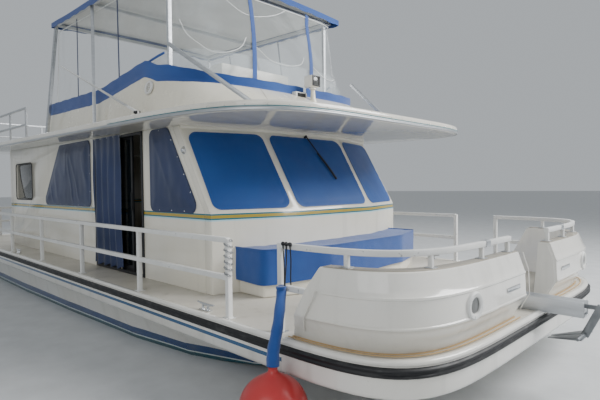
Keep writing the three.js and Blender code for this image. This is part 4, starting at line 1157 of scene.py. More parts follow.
    def plate(self) -> BMesh:
        """Plain bright strap low on the bulwark beside the gate."""
        path = [(*self.at(angle, 1.0, 0.004), 1.02) for angle in (-0.36, -0.32, -0.285, -0.25)]
        return along(path, bar(0.006, 0.035, 0.002))

    def rail(self) -> BMesh:
        """Bow rail: flat bar round the plan, post, mid bar and short stanchions."""
        z = self.rail_top - self.rail_bar / 2
        path = [(4.822, -BOW.b + self.rail_inset, z)]
        for angle in BOW.angles(-1.3, 0, 0.05):
            x, y = BOW.point(angle, self.rail_inset)
            if x > 4.86 and y < -self.gate_half - 0.03:
                path.append((x, y, z))
        square = bar(self.rail_bar, self.rail_bar, 0.007)
        pieces = [along(path, square)]
        side_y = -BOW.b + self.rail_inset
        pieces.append(along([(4.842, side_y, DECK_Z), (4.842, side_y, z)], square, up=(0, 1, 0)))
        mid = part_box("bow_rail_starboard")[0].z + 0.3477
        pieces.append(along([(4.842, side_y, mid), (self.slant_x(mid) - 0.01, side_y, mid)], square))
        thin = bar(0.034, 0.034, 0.006)
        for angle in self.feet:
            x, y = BOW.point(-angle, self.rail_inset)
            pieces.append(along([(x, y, self.top_z + 0.001), (x, y, z)], thin, up=(0, 1, 0)))
        return merged(*pieces)

    def rail_plates(self) -> BMesh:
        """Foot plates, and the sleeve that joins the rail's two lengths."""
        plates = [box((4.80, -BOW.b + 0.095, DECK_Z), (4.885, -BOW.b + 0.175, DECK_Z + 0.007), 0.002)]
        for angle in self.feet:
            x, y = BOW.point(-angle, self.rail_inset)
            plates.append(box((x - 0.035, y - 0.035, self.top_z + 0.004),
                              (x + 0.035, y + 0.035, self.top_z + 0.011), 0.002))
        z = self.rail_top - self.rail_bar / 2
        ends = [(*BOW.point(angle, self.rail_inset), z) for angle in (-0.445, -0.415)]
        return merged(*plates, along(ends, bar(0.052, 0.052, 0.008)))

    def ground_tackle(self) -> None:
        """Anchor beam with its roller, the anchor and a length of its chain on deck."""
        dressed("anchor_beam", BRIGHT_BAR, 0.003)
        dressed("anchor", GALVANISED, 0.004)
        links = []
        for i in range(22):
            x = 5.50 - 0.032 * i
            z = DECK_Z + 0.045 + 0.03 * smoothstep(14, 0, i)
            flat = rod(0.0045, 6)
            loop = [(0.020 * math.cos(t) + x, 0.012 * math.sin(t), z) for t in turns(10)]
            if i % 2:
                loop = [(px, 0.0, z + py) for px, py, _ in loop]
            links.append(along(loop, flat, up=(0, 0, 1) if i % 2 == 0 else (0, 1, 0), joined=True))
        place("anchor_chain", merged(*links), CHAIN)


@dataclass
class Rails:
    """Side rails with their foot plates and the chain on the first post."""

    post_x: tuple[float, ...] = tuple(4.24 - 1.606 * i for i in range(7))
    y: float = 2.05

    def build(self) -> None:
        """Builds the whole sub-assembly."""
        for side in Side:
            dressed(f"side_rail_{side.label}", WHITE_PAINT, 0.006, 3)
        place_pair("rail_foot_screws", self.screws, POLISHED)
        place("gate_chain", self.chain(), CHAIN)

    def screws(self) -> BMesh:
        """Four round heads on each foot plate."""
        heads = []
        for x in self.post_x:
            for dx, dy in ((-0.036, -0.031), (0.036, -0.031), (-0.036, 0.031), (0.036, 0.031)):
                heads.append(turned([(0, 0.004), (0.004, 0.003), (0.006, 0)],
                                    (x + dx, -self.y + dy, DECK_Z + 0.008), (0, 0, 1), 8))
        return merged(*heads)

    def chain(self) -> BMesh:
        """Gate chain wound round the starboard rail's first post."""
        links, rounds, count = [], 6.0, 54
        for i in range(count):
            share = i / (count - 1)
            angle = 2 * math.pi * rounds * share
            middle = Vector((self.post_x[0] + 0.033 * math.cos(angle), -self.y + 0.033 * math.sin(angle),
                             1.39 - 0.30 * share))
            ahead = Vector((-math.sin(angle), math.cos(angle), -0.16)).normalized()
            out = Vector((math.cos(angle), math.sin(angle), 0))
            across = out if i % 2 else ahead.cross(out)
            loop = [middle + ahead * 0.014 * math.cos(t) + across * 0.008 * math.sin(t)
                    for t in turns(8)]
            links.append(along(loop, rod(0.003, 5), up=tuple(ahead.cross(across)), joined=True))
        return merged(*links)


@dataclass(frozen=True)
class Wall:
    """A flat wall plane: an origin, u to the right and v up, seen from outside."""

    origin: Vector
    u: Vector
    v: Vector

    @classmethod
    def through(cls, low: Point, right: Point, high: Point) -> "Wall":
        """The plane through two points of the lower edge and one above."""
        origin = Vector(low)
        u = (Vector(right) - origin).normalized()
        v = Vector(high) - origin
        return cls(origin, u, (v - u * v.dot(u)).normalized())

    @property
    def out(self) -> Vector:
        """The direction out of the wall."""
        return self.u.cross(self.v)

    def point(self, a: float, b: float, level: float = 0.0) -> Vector:
        """Place on the wall, out from it by level."""
        return self.origin + self.u * a + self.v * b + self.out * level

    def flat(self, point: Point) -> Pair:
        """The wall's own coordinates of a point."""
        d = Vector(point) - self.origin
        return d.dot(self.u), d.dot(self.v)


def rounded_outline(corners: Sequence[Pair], radius: float, inset: float = 0.0, steps: int = 8) -> list[Pair]:
    """Convex outline, counter-clockwise, with each edge moved in and its corners rounded.

    Args:
        corners: The corners in order.
        radius: Corner radius before the inset.
        inset: How far each edge moves in.
        steps: Segments in each corner.

    Returns:
        The outline's points.
    """
    count, edges, outline = len(corners), [], []
    for i, p in enumerate(corners):
        q = corners[(i + 1) % count]
        length = math.hypot(q[0] - p[0], q[1] - p[1])
        normal = (-(q[1] - p[1]) / length, (q[0] - p[0]) / length)
        edges.append((normal, normal[0] * p[0] + normal[1] * p[1]))
    for i in range(count):
        (n1, o1), (n2, o2) = edges[i - 1], edges[i]
        r = max(radius - inset, 0.001)
        det = n1[0] * n2[1] - n1[1] * n2[0]
        c, d = o1 + inset + r, o2 + inset + r
        centre = ((c * n2[1] - d * n1[1]) / det, (d * n1[0] - c * n2[0]) / det)
        start = math.atan2(-n1[1], -n1[0])
        sweep_by = (math.atan2(-n2[1], -n2[0]) - start) % (2 * math.pi)
        outline += [(centre[0] + r * math.cos(start + sweep_by * k / steps),
                     centre[1] + r * math.sin(start + sweep_by * k / steps)) for k in range(steps + 1)]
    return outline


class CabinPlan:
    """Faces and window corners of the cabin, shared by its shell, gaskets and covers."""

    half = 1.654
    sill = 1.56
    corner_x = 3.43
    centre = (3.72, 0.683)
    rake_top = 2.5
    centre_high = (3.15, 0.70)
    corner_high = 2.8651
    edge = 0.078
    radius = 0.07
    front_radius = 0.15

    front = Wall.through((corner_x, -half, sill), (centre[0], -centre[1], sill),
                         (corner_high, -half, rake_top))
    middle = Wall.through((centre[0], -centre[1], sill), (centre[0], centre[1], sill),
                          (centre_high[0], -centre_high[1], rake_top))
    side = Wall(Vector((0, -half, 0)), Vector((1, 0, 0)), Vector((0, 0, 1)))
    windows = {
        "fore": [(2.19, 1.58), (3.195, 1.58), (2.59, 2.51), (2.19, 2.51)],
        "aft": [(-1.66, 1.59), (0.36, 1.59), (0.36, 2.535), (-0.86, 2.535)],
        "cabin": [(-3.35, 1.65), (-2.35, 1.65), (-2.35, 2.33), (-3.35, 2.33)],
    }

    @classmethod
    def front_corners(cls) -> list[Pair]:
        """Corners of the starboard front window."""
        points = [(cls.corner_x, -cls.half, cls.sill), (cls.centre[0], -cls.centre[1], cls.sill),
                  (cls.centre_high[0], -cls.centre_high[1], cls.rake_top),
                  (cls.corner_high, -cls.half, cls.rake_top)]
        return [cls.front.flat(p) for p in points]

    @classmethod
    def middle_corners(cls) -> list[Pair]:
        """Corners of the centre window."""
        (x0, y0), (x1, y1) = cls.centre, cls.centre_high
        points = [(x0, -y0, cls.sill), (x0, y0, cls.sill), (x1, y1, cls.rake_top), (x1, -y1, cls.rake_top)]
        return [cls.middle.flat(p) for p in points]


@dataclass
class Cabin:
    """Cabin shell with its doors, glass, gaskets and small fittings."""

    doorway: tuple[Pair, Pair] = ((0.56, 1.98), (0.745, 2.53))
    split: float = 1.29

    def build(self) -> None:
        """Builds the whole sub-assembly."""
        dressed("cabin_front", CABIN_GELCOAT, 0.012, 3)
        dressed("cabin_aft_bulkhead", CABIN_GELCOAT, 0.006)
        for side in Side:
            dressed(f"cabin_side_{side.label}", CABIN_GELCOAT, 0.006)
            dressed(f"cabin_pane_{side.label}", DARK_GLASS, 0.001)
        dressed("aft_door", DECK_GELCOAT, 0.005)
        place_pair("window_gaskets", self.gaskets, GASKET)
        place_pair("sliding_door_frame", self.door_frame, BLACK, body="door_leaf", node="door_leaf")
        place_pair("sliding_door_glass", self.door_glass, DARK_GLASS, body="door_leaf")
        place_pair("doorway_trim", self.door_trim, BLACK)
        place_pair("fixed_door_frame", self.fixed_frame, BLACK)
        place_pair("side_lamp", self.side_lamp, POLISHED)
        place_pair("corner_post", self.corner_post, CABIN_GELCOAT)
        place("front_panes", self.front_panes(), DARK_GLASS)
        place("wiper_arm", self.wiper(), BLACK, "wiper", "wiper")

    def gaskets(self) -> BMesh:
        """Rubber rings round the side windows."""
        rings = []
        for corners in CabinPlan.windows.values():
            path = [CabinPlan.side.point(a, b, 0.003)
                    for a, b in rounded_outline(corners, CabinPlan.radius, -0.006)]
            rings.append(along(path, bar(0.02, 0.012, 0.004), up=(0, 1, 0), joined=True))
        return merged(*rings)

    def frame_ring(self, low: Pair, high: Pair, y: float, width: float, depth: float) -> BMesh:
        """Mitred frame in the side wall's plane."""
        half = width / 2
        (x0, z0), (x1, z1) = (low[0] + half, low[1] + half), (high[0] - half, high[1] - half)
        path = [(x0, y, z0), (x1, y, z0), (x1, y, z1), (x0, y, z1)]
        return along(path, bar(width, depth, 0.004), up=(0, 1, 0), joined=True)

    def door_frame(self) -> BMesh:
        """Frame of the sliding leaf with its pull handle and bottom rail."""
        low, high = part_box("door_leaf_starboard")
        y = (low.y + high.y) / 2
        ring = self.frame_ring((low.x, low.z), (high.x, high.z), y, 0.046, high.y - low.y)
        kick = box((low.x + 0.04, low.y, low.z + 0.04), (high.x - 0.04, high.y, low.z + 0.095), 0.003)
        pull = box((high.x - 0.036, low.y - 0.012, 1.55), (high.x - 0.012, low.y, 1.78), 0.004)
        return merged(ring, kick, pull)

    def door_glass(self) -> BMesh:
        """Glass of the sliding leaf."""
        low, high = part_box("door_leaf_starboard")
        y = (low.y + high.y) / 2
        near = (low.x + 0.04, y - 0.003, low.z + 0.09)
        return box(near, (high.x - 0.04, y + 0.003, high.z - 0.04), 0.001, 1)

    def door_trim(self) -> BMesh:
        """Dark jambs, head track and threshold round the doorway."""
        (x0, x1), (z0, z1) = self.doorway
        low, high = (x0 - 0.012, z0 - 0.02), (x1 + 0.012, z1 + 0.012)
        ring = self.frame_ring(low, high, -CabinPlan.half - 0.004, 0.034, 0.022)
        track = box((x0 + 0.02, -1.60, z1 - 0.005), (x1 - 0.02, -1.565, z1 + 0.02), 0.003)
        return merged(ring, track)

    def fixed_frame(self) -> BMesh:
        """Frame face of the fixed half of the door."""
        return self.frame_ring((self.doorway[0][0], 0.75), (self.split, 2.522), -1.6455, 0.05, 0.012)

    def side_lamp(self) -> BMesh:
        """Small round lamp on the wall ahead of the side windows."""
        profile = [(0, 0.034), (0.022, 0.03), (0.034, 0.016), (0.036, 0.006), (0.044, 0.004), (0.046, 0),
                   (0, -0.002)]
        return turned(profile, (2.93, -CabinPlan.half, 2.25), (0, -1, 0), 24)

    def corner_post(self) -> BMesh:
        """Raised bead up the raked corner between the side and the front."""
        low = Vector((CabinPlan.corner_x, -CabinPlan.half, CabinPlan.sill + 0.02))
        high = Vector((CabinPlan.corner_high, -CabinPlan.half, CabinPlan.rake_top))
        head = high + (high - low) * 0.02
        return along([low + Vector((-0.03, 0.004, 0)), head + Vector((-0.03, 0.004, 0))],
                     bar(0.03, 0.022, 0.009, 3), up=(0, 1, 0))

    def front_panes(self) -> BMesh:
        """Windscreen glass behind its covers."""
        panes = []
        for wall, corners, both in ((CabinPlan.middle, CabinPlan.middle_corners(), False),
                                    (CabinPlan.front, CabinPlan.front_corners(), True)):
            outline = rounded_outline(corners, CabinPlan.front_radius, CabinPlan.edge - 0.004)
            for copy in range(2 if both else 1):
                bm = sweep([[wall.point(a, b, level) for a, b in outline] for level in (-0.034, -0.026)])
                panes.append(mirrored(bm) if copy else bm)
        return merged(*panes)

    def wiper(self) -> BMesh:
        """Wiper over the centre window: pivot cap, arm and blade."""
        wall, rise, level = CabinPlan.middle, 1.063, 0.034
        across = CabinPlan.centre[1]
        pivot, tip = wall.point(across, rise, 0.003), wall.point(across + 0.15, rise - 0.45, level)
        start = wall.point(across, rise, level)
        out = wall.out
        run = (tip - start).normalized()
        cap = turned([(0.0003, 0), (0.016, 0), (0.017, 0.03), (0.012, 0.042), (0, 0.043)], pivot, out, 20)
        arm = along([start, start + run * 0.12, tip], bar(0.02, 0.012, 0.003), up=tuple(out),
                    scale=lambda t: 1.0 - 0.3 * t)
        low = out * -0.006
        blade = along([tip - run * 0.21 + low, tip - run * 0.07, tip + run * 0.07, tip + run * 0.21 + low],
                      bar(0.026, 0.018, 0.004), up=tuple(out))
        return merged(cap, arm, blade)


def edge_distance(outline: Sequence[Pair], a: float, b: float) -> float:
    """Distance from a point inside a convex outline to its nearest edge."""
    nearest = 1e9
    for p, q in zip(outline, list(outline[1:]) + [outline[0]]):
        length = math.hypot(q[0] - p[0], q[1] - p[1])
        if length > 1e-6:
            nearest = min(nearest, ((q[0] - p[0]) * (b - p[1]) - (q[1] - p[1]) * (a - p[0])) / length)
    return nearest


def sheet_on(wall: Wall, outline: Sequence[Pair], relief: Callable[[float, float, float], float],
             spacing: float = 0.022, thick: float = 0.0025) -> BMesh:
    """Cloth over a window: a grid cut to the outline, lifted by its relief and turned in at its hem.

    Args:
        wall: The wall that it hangs on.
        outline: The cloth's outline on the wall.
        relief: Lift by place and by the distance to the hem.
        spacing: The grid's spacing.
        thick: How far the hem turns in.

    Returns:
        The new mesh, with its UV map in metres.
    """
    xs, ys = [p[0] for p in outline], [p[1] for p in outline]
    centre = ((min(xs) + max(xs)) / 2, (min(ys) + max(ys)) / 2)
    size = (max(xs) - min(xs) + 2 * spacing, max(ys) - min(ys) + 2 * spacing)
    bm = bmesh.new()
    stretch = Matrix.Translation((*centre, 0)) @ Matrix.Diagonal((size[0], size[1], 1, 1))
    bmesh.ops.create_grid(bm, x_segments=round(size[0] / spacing), y_segments=round(size[1] / spacing),
                          size=0.5, matrix=stretch)
    for p, q in zip(outline, list(outline[1:]) + [outline[0]]):
        if math.hypot(q[0] - p[0], q[1] - p[1]) > 1e-5:
            trim(bm, (*p, 0), (q[1] - p[1], p[0] - q[0], 0), fill=False)
    bmesh.ops.remove_doubles(bm, verts=bm.verts, dist=0.0015)
    map_uv(bm, lambda co, _: (co.x, co.y))
    for vert in bm.verts:
        a, b = vert.co.x, vert.co.y
        vert.co = wall.point(a, b, relief(a, b, max(edge_distance(outline, a, b), 0.0)))
    rim = [e for e in bm.edges if e.is_boundary]
    made = bmesh.ops.extrude_edge_only(bm, edges=rim)["geom"]
    for vert in (v for v in made if isinstance(v, bmesh.types.BMVert)):
        level = (vert.co - wall.origin).dot(wall.out)
        vert.co += wall.out * (thick - level)
    bmesh.ops.recalc_face_normals(bm, faces=bm.faces)
    return facing(bm, wall.out)


def outline_area(outline: Sequence[Pair]) -> float:
    """Area inside an outline."""
    pairs = zip(outline, list(outline[1:]) + [outline[0]])
    return abs(sum(p[0] * q[1] - q[0] * p[1] for p, q in pairs)) / 2


@dataclass
class WindowCovers:
    """Covers snapped over the windows, and the curtain over the fixed door pane."""

    lap: float = 0.022
    front_lap: float = 0.031
    snap: float = 0.009
    snap_spacing: float = 0.26
    folds: float = 4.4

    def build(self) -> None:
        """Builds the whole sub-assembly."""
        inset = CabinPlan.edge - self.front_lap
        outline = rounded_outline(CabinPlan.middle_corners(), CabinPlan.front_radius, inset)
        self.declare([place("centre_cover", sheet_on(CabinPlan.middle, outline, self.taut), FRONT_VINYL,
                            stands_for="window_cover_centre")], outline)
        outline = rounded_outline(CabinPlan.front_corners(), CabinPlan.front_radius, inset)
        self.declare(place_pair("front_cover", lambda: sheet_on(CabinPlan.front, outline, self.taut),
                                FRONT_VINYL, node="window_cover_front"), outline)
        for name in ("fore", "aft"):
            outline = rounded_outline(CabinPlan.windows[name], CabinPlan.radius, -self.lap)
            self.declare(place_pair(f"{name}_cover", lambda: sheet_on(CabinPlan.side, outline, self.slack),
                                    NAVY_VINYL, node=f"window_cover_{name}"), outline)
        place_pair("cover_snaps", self.snaps, POLISHED)
        self.door_cover()

    def declare(self, pieces: Sequence[bpy.types.Object], outline: Sequence[Pair]) -> None:
        """Works out the outline's flat size and, once per cover, its area, and keeps neither."""
        xs, ys = [p[0] for p in outline], [p[1] for p in outline]
        flat = (max(xs) - min(xs), max(ys) - min(ys))
        for piece in pieces:
            outline_area(outline)

    def taut(self, a: float, b: float, edge: float) -> float:
        """Relief of a tight front cover with its bound hem."""
        hem = 0.0035 * math.exp(-((edge - 0.03) / 0.011) ** 2)
        hem -= 0.003 * math.exp(-((edge - 0.052) / 0.012) ** 2)
        pillow = 0.0055 * smoothstep(0.03, 0.30, edge)
        soft = 0.0022 * drift(a * 2.6, b * 2.2, 4.1) * smoothstep(0.02, 0.2, edge)
        pucker = 0.0014 * math.sin(46 * a) * math.sin(46 * b) * math.exp(-edge / 0.05)
        return 0.0065 + hem + pillow + soft + pucker

    def slack(self, a: float, b: float, edge: float) -> float:
        """Relief of a slack side cover that hangs in slanting folds."""
        warp = drift(a * 1.3, b * 1.1, 0.7) * 0.9
        fold = 1 - abs(drift(a * 3.4 + b * 0.9 + warp, b * 0.8, 2.3)) * 2
        fine = drift(a * 9 + warp * 2, b * 2.5, 5.1)
        lift = smoothstep(0.01, 0.18, edge)
        hem = 0.003 * math.exp(-((edge - 0.025) / 0.01) ** 2)
        return 0.008 + hem + lift * (0.012 + 0.014 * max(fold, 0) ** 2 + 0.004 * fine)

    def snaps(self) -> BMesh:
        """Snap heads along the hems of the starboard side covers."""
        heads, wall = [], CabinPlan.side
        profile = [(0, 0.006), (self.snap * 0.6, 0.005), (self.snap, 0.001), (self.snap, -0.002)]
        for name in ("fore", "aft"):
            outline = rounded_outline(CabinPlan.windows[name], CabinPlan.radius)
            for p, q in zip(outline, outline[1:]):
                run = math.hypot(q[0] - p[0], q[1] - p[1])
                count = max(1, round(run / self.snap_spacing)) if run > 0.1 else 0
                for i in range(count):
                    share = (i + 0.5) / count
                    a, b = (low + (high - low) * share for low, high in zip(p, q))
                    heads.append(turned(profile, wall.point(a, b, 0.008), wall.out, 10))
        return merged(*heads)

    def door_cover(self) -> None:
        """Curtain that hangs over the fixed half of the starboard door."""
        low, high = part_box("door_cover")
        width, height = high.x - low.x, high.z - low.z
        bm = bmesh.new()
        grow = Matrix.Translation(((low.x + high.x) / 2, high.y - 0.02, (low.z + high.z) / 2))
        upright = Matrix.Rotation(math.pi / 2, 4, "X")
        bmesh.ops.create_grid(bm, x_segments=110, y_segments=90, size=0.5,
                              matrix=grow @ upright @ Matrix.Diagonal((width, height, 1, 1)))
        map_uv(bm, lambda co, _: (co.x, co.z))
        for vert in bm.verts:
            s, t = (vert.co.x - low.x) / width, (vert.co.z - low.z) / height
            loose = smoothstep(1.0, 0.72, t)
            wander = 0.35 * drift(s * 2.2, t * 1.6, 3.3)
            fold = math.sin(2 * math.pi * (self.folds * s + wander)) * (0.35 + 0.65 * loose)
            crease = drift(s * 7 + wander, t * 5, 8.8)
            vert.co.y = low.y + 0.026 + 0.017 * fold + 0.005 * crease * loose
            vert.co.x += 0.010 * math.sin(9 * t + 2 * s) * max(0.3 - t, 0.0)
            hem = 1 - smoothstep(0.0, 0.1, t)
            vert.co.z += 0.014 * math.sin(2 * math.pi * self.folds * s) * hem + 0.004 * (s < 0.01)
        bmesh.ops.recalc_face_normals(bm, faces=bm.faces)
        bmesh.ops.solidify(bm, geom=bm.faces[:], thickness=0.0016)
        made = place("door_curtain", bm, NAVY_VINYL, stands_for="door_cover", smooth=60)
        pole_y, pole_z = high.y - 0.012, high.z - 0.012
        pole = along([(low.x - 0.01, pole_y, pole_z), (high.x + 0.01, pole_y, pole_z)],
                     bar(0.016, 0.022, 0.004))
        place("door_curtain_rod", pole, BRIGHT_BAR)


@dataclass
class Foredeck:
    """Bench under its fitted cover, with the board at its end and elastic cords on the bow rail."""

    back_x: float = 3.30
    shoulder: Pair = (3.94, 1.40)
    nose: Pair = (4.20, 0.69)
    drop: float = 0.35
    depth_steps: int = 14

    def build(self) -> None:
        """Builds the whole sub-assembly."""
        dressed("bench", CABIN_GELCOAT, 0.02, 3)
        self.cover()
        place("bench_board", box((3.545, -1.3815, 0.852), (3.872, -1.3765, 0.985), 0.001, 1), PLY)
        self.lashings()

    def plan(self, grow: float) -> list[Pair]:
        """Plan outline of the bench's front and ends, open at the cabin."""
        (x1, y1), (x2, y2) = self.shoulder, self.nose
        half = [(self.back_x, y1 + grow), (x1 + grow * 0.7, y1 + grow), (x2 + grow, y2)]
        corners = [(x, -y) for x, y in half] + half[::-1]
        path = [corners[0]]
        for before, corner, after in zip(corners, corners[1:], corners[2:]):
            p, c, q = (Vector(v) for v in (before, corner, after))
            first, second = c + (p - c).normalized() * 0.07, c + (q - c).normalized() * 0.07
            path += [tuple(first.lerp(c, t).lerp(c.lerp(second, t), t)) for t in (0, 0.25, 0.5, 0.75, 1)]
        path.append(corners[-1])
        dense = [path[0]]
        for p, q in zip(path, path[1:]):
            steps = max(1, round(math.hypot(q[0] - p[0], q[1] - p[1]) / 0.03))
            dense += [(p[0] + (q[0] - p[0]) * i / steps, p[1] + (q[1] - p[1]) * i / steps)
                      for i in range(1, steps + 1)]
        return dense

    def cover(self) -> None:
        """Fitted cover: a sagging top, a welted edge and a slack skirt."""
        low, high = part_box("bench_cover")
        path = self.plan(0.0)
        rings = []
        for share in shares(8):
            ring = []
            for x, y in path:
                inner = (min(x, 3.62) if abs(y) < 1.1 else min(x, 3.36), y * 0.94)
                px, py = x + (inner[0] - x) * (1 - share), y + (inner[1] - y) * (1 - share)
                sag = 0.016 * math.sin(math.pi * share) * (0.6 + drift(px * 2, py * 2, 1.1))
                ring.append((px, py, high.z - 0.006 - sag + 0.004 * drift(px * 7, py * 7, 2.2)))
            rings.append(ring)
        rings.append([(x, y, high.z + 0.003) for x, y in self.plan(0.004)])
        rings.append([(x, y, high.z - 0.008) for x, y in self.plan(0.007)])
        for share in shares(self.depth_steps)[1:]:
            ring = []
            for x, y in self.plan(0.004):
                wave = drift(x * 3.1, y * 3.1, share * 1.2) * 0.016 * share
                fine = drift(x * 11, y * 11, share * 3) * 0.004
                grow = 1 + (wave + fine + 0.004 * share) / max(math.hypot(x - self.back_x, y), 0.3)
                hem = 0.010 * math.sin(4.3 * (x + y)) * share
                ring.append((self.back_x + (x - self.back_x) * grow, y * grow,
                             high.z - 0.012 - (self.drop - 0.012) * share + hem * share))
            rings.append(ring)
        bm = sweep(rings, closed=False, capped=False)
        box_uv(bm)
        made = place("bench_canvas", facing(bm, (0, 0, 1)), BLUE_CANVAS, stands_for="bench_cover", smooth=50,
                     cloth=True)
        welt = along([(x, y, high.z - 0.001) for x, y in self.plan(0.006)], rod(0.006, 8))
        place("bench_welt", welt, BLUE_CANVAS, cloth=True)

    def lashings(self) -> None:
        """Elastic cords with their hooks that hang from the starboard bow rail."""
        rail_y, rail_z = -BOW.b + Bow.rail_inset, Bow.rail_top - Bow.rail_bar / 2
        cords = []
        for x, reach, sway in ((4.90, 0.50, 0.02), (4.935, 0.33, -0.01), (4.975, 0.30, 0.015)):
            path = [(x, rail_y - 0.012, rail_z + 0.026)]
            for t in shares(8):
                path.append((x + sway * t, rail_y - 0.032 + 0.006 * math.sin(5 * t),
                             rail_z + 0.018 - reach * t))
            cords.append(along(path, rod(0.005, 8), up=(1, 0, 0)))
            knot = turned([(0, -0.018), (0.012, -0.012), (0.016, 0), (0.012, 0.012), (0, 0.018)],
                          (x, rail_y - 0.03, rail_z + 0.02), (0, 0, 1), 10)
            cords.append(knot)
        place("bow_rail_bungees", merged(*cords), GASKET)


@dataclass
class Roof:
    """Roof slab with its trim, the stern posts, the roof rails and the ladder."""

    edge_proud: float = 0.006
    post: Pair = (-5.2, 1.9)
    aerial: Pair = (2.33, -1.88)
    tread: Pair = (0.02, 1.72)

    def build(self) -> None:
        """Builds the whole sub-assembly."""
        t = RoofPlan.thick
        slab = RoofPlan.levels([(0.05, -t), (0.02, -t + 0.003), (0.006, -t + 0.012), (0, -t + 0.022),
                                (0, -0.018), (0.006, -0.007), (0.018, -0.001), (0.03, 0)])
        place("roof_slab", slab, ROOF_GELCOAT, stands_for="roof", smooth=40)
        out = -self.edge_proud
        band = [(0.001, -0.092), (out, -0.090), (out - 0.002, -0.084), (out, -0.078), (out, -0.073),
                (out - 0.002, -0.068), (out, -0.064), (0.001, -0.062)]
        place("roof_edge_band", RoofPlan.levels(band, joined=True), BRIGHT_BAR, smooth=50)
        self.stripe("roof_stripe_teal", -0.0615, -0.054, Gelcoat("teal_tape", "blue_canvas", TEAL, 0.3))
        place("roof_walkway", self.walkway(), DECK)
        place("roof_posts", self.posts(), WHITE_PAINT)
        place("aerial_mount", self.aerial_mount(), BLACK)
        place("roof_cornice", self.cornice(), CABIN_GELCOAT)
        place("roof_screws", self.edge_screws(), POLISHED)
        for side in Side:
            dressed(f"roof_rail_{side.label}", BRIGHT_BAR, 0.008, 3, merge=False)
        dressed("ladder", BRIGHT_BAR, 0.004, 2)

    def stripe(self, name: str, low: float, high: float, finish: Finish) -> None:
        """Tape along the roof's front edge between two heights below its top."""
        out = -self.edge_proud - 0.001
        rings = []
        for angle in RoofPlan.curve.angles(-1.25, 1.25, 0.06):
            x, y = RoofPlan.curve.point(angle, out)
            x2, y2 = RoofPlan.curve.point(angle, out - 0.001)
            top = RoofPlan.top(x)
            rings.append([(x, y, top + low), (x2, y2, top + low), (x2, y2, top + high), (x, y, top + high)])
        place(name, sweep(rings), finish)

    def walkway(self) -> BMesh:
        """Four non-skid panels on the roof deck, aft of the coaming."""
        panels, (inner, outer) = [], self.tread
        for x0, x1 in ((-5.1, -3.5), (-3.46, -1.75)):
            for y0, y1 in ((-outer, -inner), (inner, outer)):
                panel = box((x0, y0, 0), (x1, y1, 0.002), 0.0008, 1)
                for vert in panel.verts:
                    vert.co.z += RoofPlan.top(vert.co.x)
                panels.append(panel)
        return merged(*panels)

    def posts(self) -> BMesh:
        """Square posts under the roof's aft corners with their foot plates."""
        pieces, x = [], self.post[0]
        head = RoofPlan.top(x) - RoofPlan.thick
        for side in Side:
            y = side.value * self.post[1]
            pieces.append(along([(x, y, DECK_Z), (x, y, head)], bar(0.06, 0.06, 0.01, 3), up=(0, 1, 0)))
            for low, high in ((DECK_Z, DECK_Z + 0.01), (head - 0.012, head)):
                pieces.append(box((x - 0.07, y - 0.07, low), (x + 0.07, y + 0.07, high), 0.003))
        return merged(*pieces)

    def aerial_mount(self) -> BMesh:
        """Ratchet mount of the aerial: foot, two ears and the clamp knob."""
        x, y = self.aerial
        z = RoofPlan.top(x)
        foot = turned([(0, 0.012), (0.036, 0.012), (0.05, 0.006), (0.052, -0.002), (0, -0.002)], (x, y, z),
                      (0, 0, 1), 24)
        ears = [along([(x, y + side * 0.0188, z + 0.004), (x, y + side * 0.0188, z + 0.088)],
                      bar(0.044, 0.0125, 0.005), up=(0, 1, 0)) for side in (-1, 1)]
        knob = turned([(0, 0.022), (0.014, 0.02), (0.017, 0.012), (0.017, 0.002), (0, 0)],
                      (x, y - 0.026, z + 0.07), (0, -1, 0), 12)
        return merged(foot, *ears, knob)

    def cornice(self) -> BMesh:
        """Cove moulding where the cabin's front meets the roof."""
        top = CabinPlan.rake_top + 0.02
        lift = (top - CabinPlan.rake_top) * (CabinPlan.centre[0] - CabinPlan.centre_high[0]) / (
            CabinPlan.rake_top - CabinPlan.sill)
        corner, centre = CabinPlan.corner_high - lift, CabinPlan.centre_high[0] - lift
        half, mid = CabinPlan.half, CabinPlan.centre_high[1]
        path = [(corner, -half, top), (centre, -mid, top), (centre, mid, top), (corner, half, top)]
        return along(path, bar(0.05, 0.05, 0.02, 3))

    def edge_screws(self) -> BMesh:
        """Screw heads along the roof's front edge band."""
        heads = []
        for angle in RoofPlan.curve.angles(-1.3, 1.3, 0.2):
            x, y = RoofPlan.curve.point(angle, -self.edge_proud)
            x2, y2 = RoofPlan.curve.point(angle, -self.edge_proud - 0.01)
            axis = Vector((x2 - x, y2 - y, 0)).normalized()
            heads.append(turned([(0, 0.002), (0.003, 0.0015), (0.0045, 0)], (x, y, RoofPlan.top(x) - 0.045),
                                axis, 8))
        return merged(*heads)


@dataclass(frozen=True)
class Station:
    """A cut through the bridge's walls: at x along the straight side, or at an angle round the front."""

    side: int
    x: float | None = None
    angle: float = 0.0

    @classmethod
    def ahead(cls, degrees: float) -> "Station":
        """A cut round the front, from an angle in degrees."""
        return cls(0, angle=math.radians(degrees))


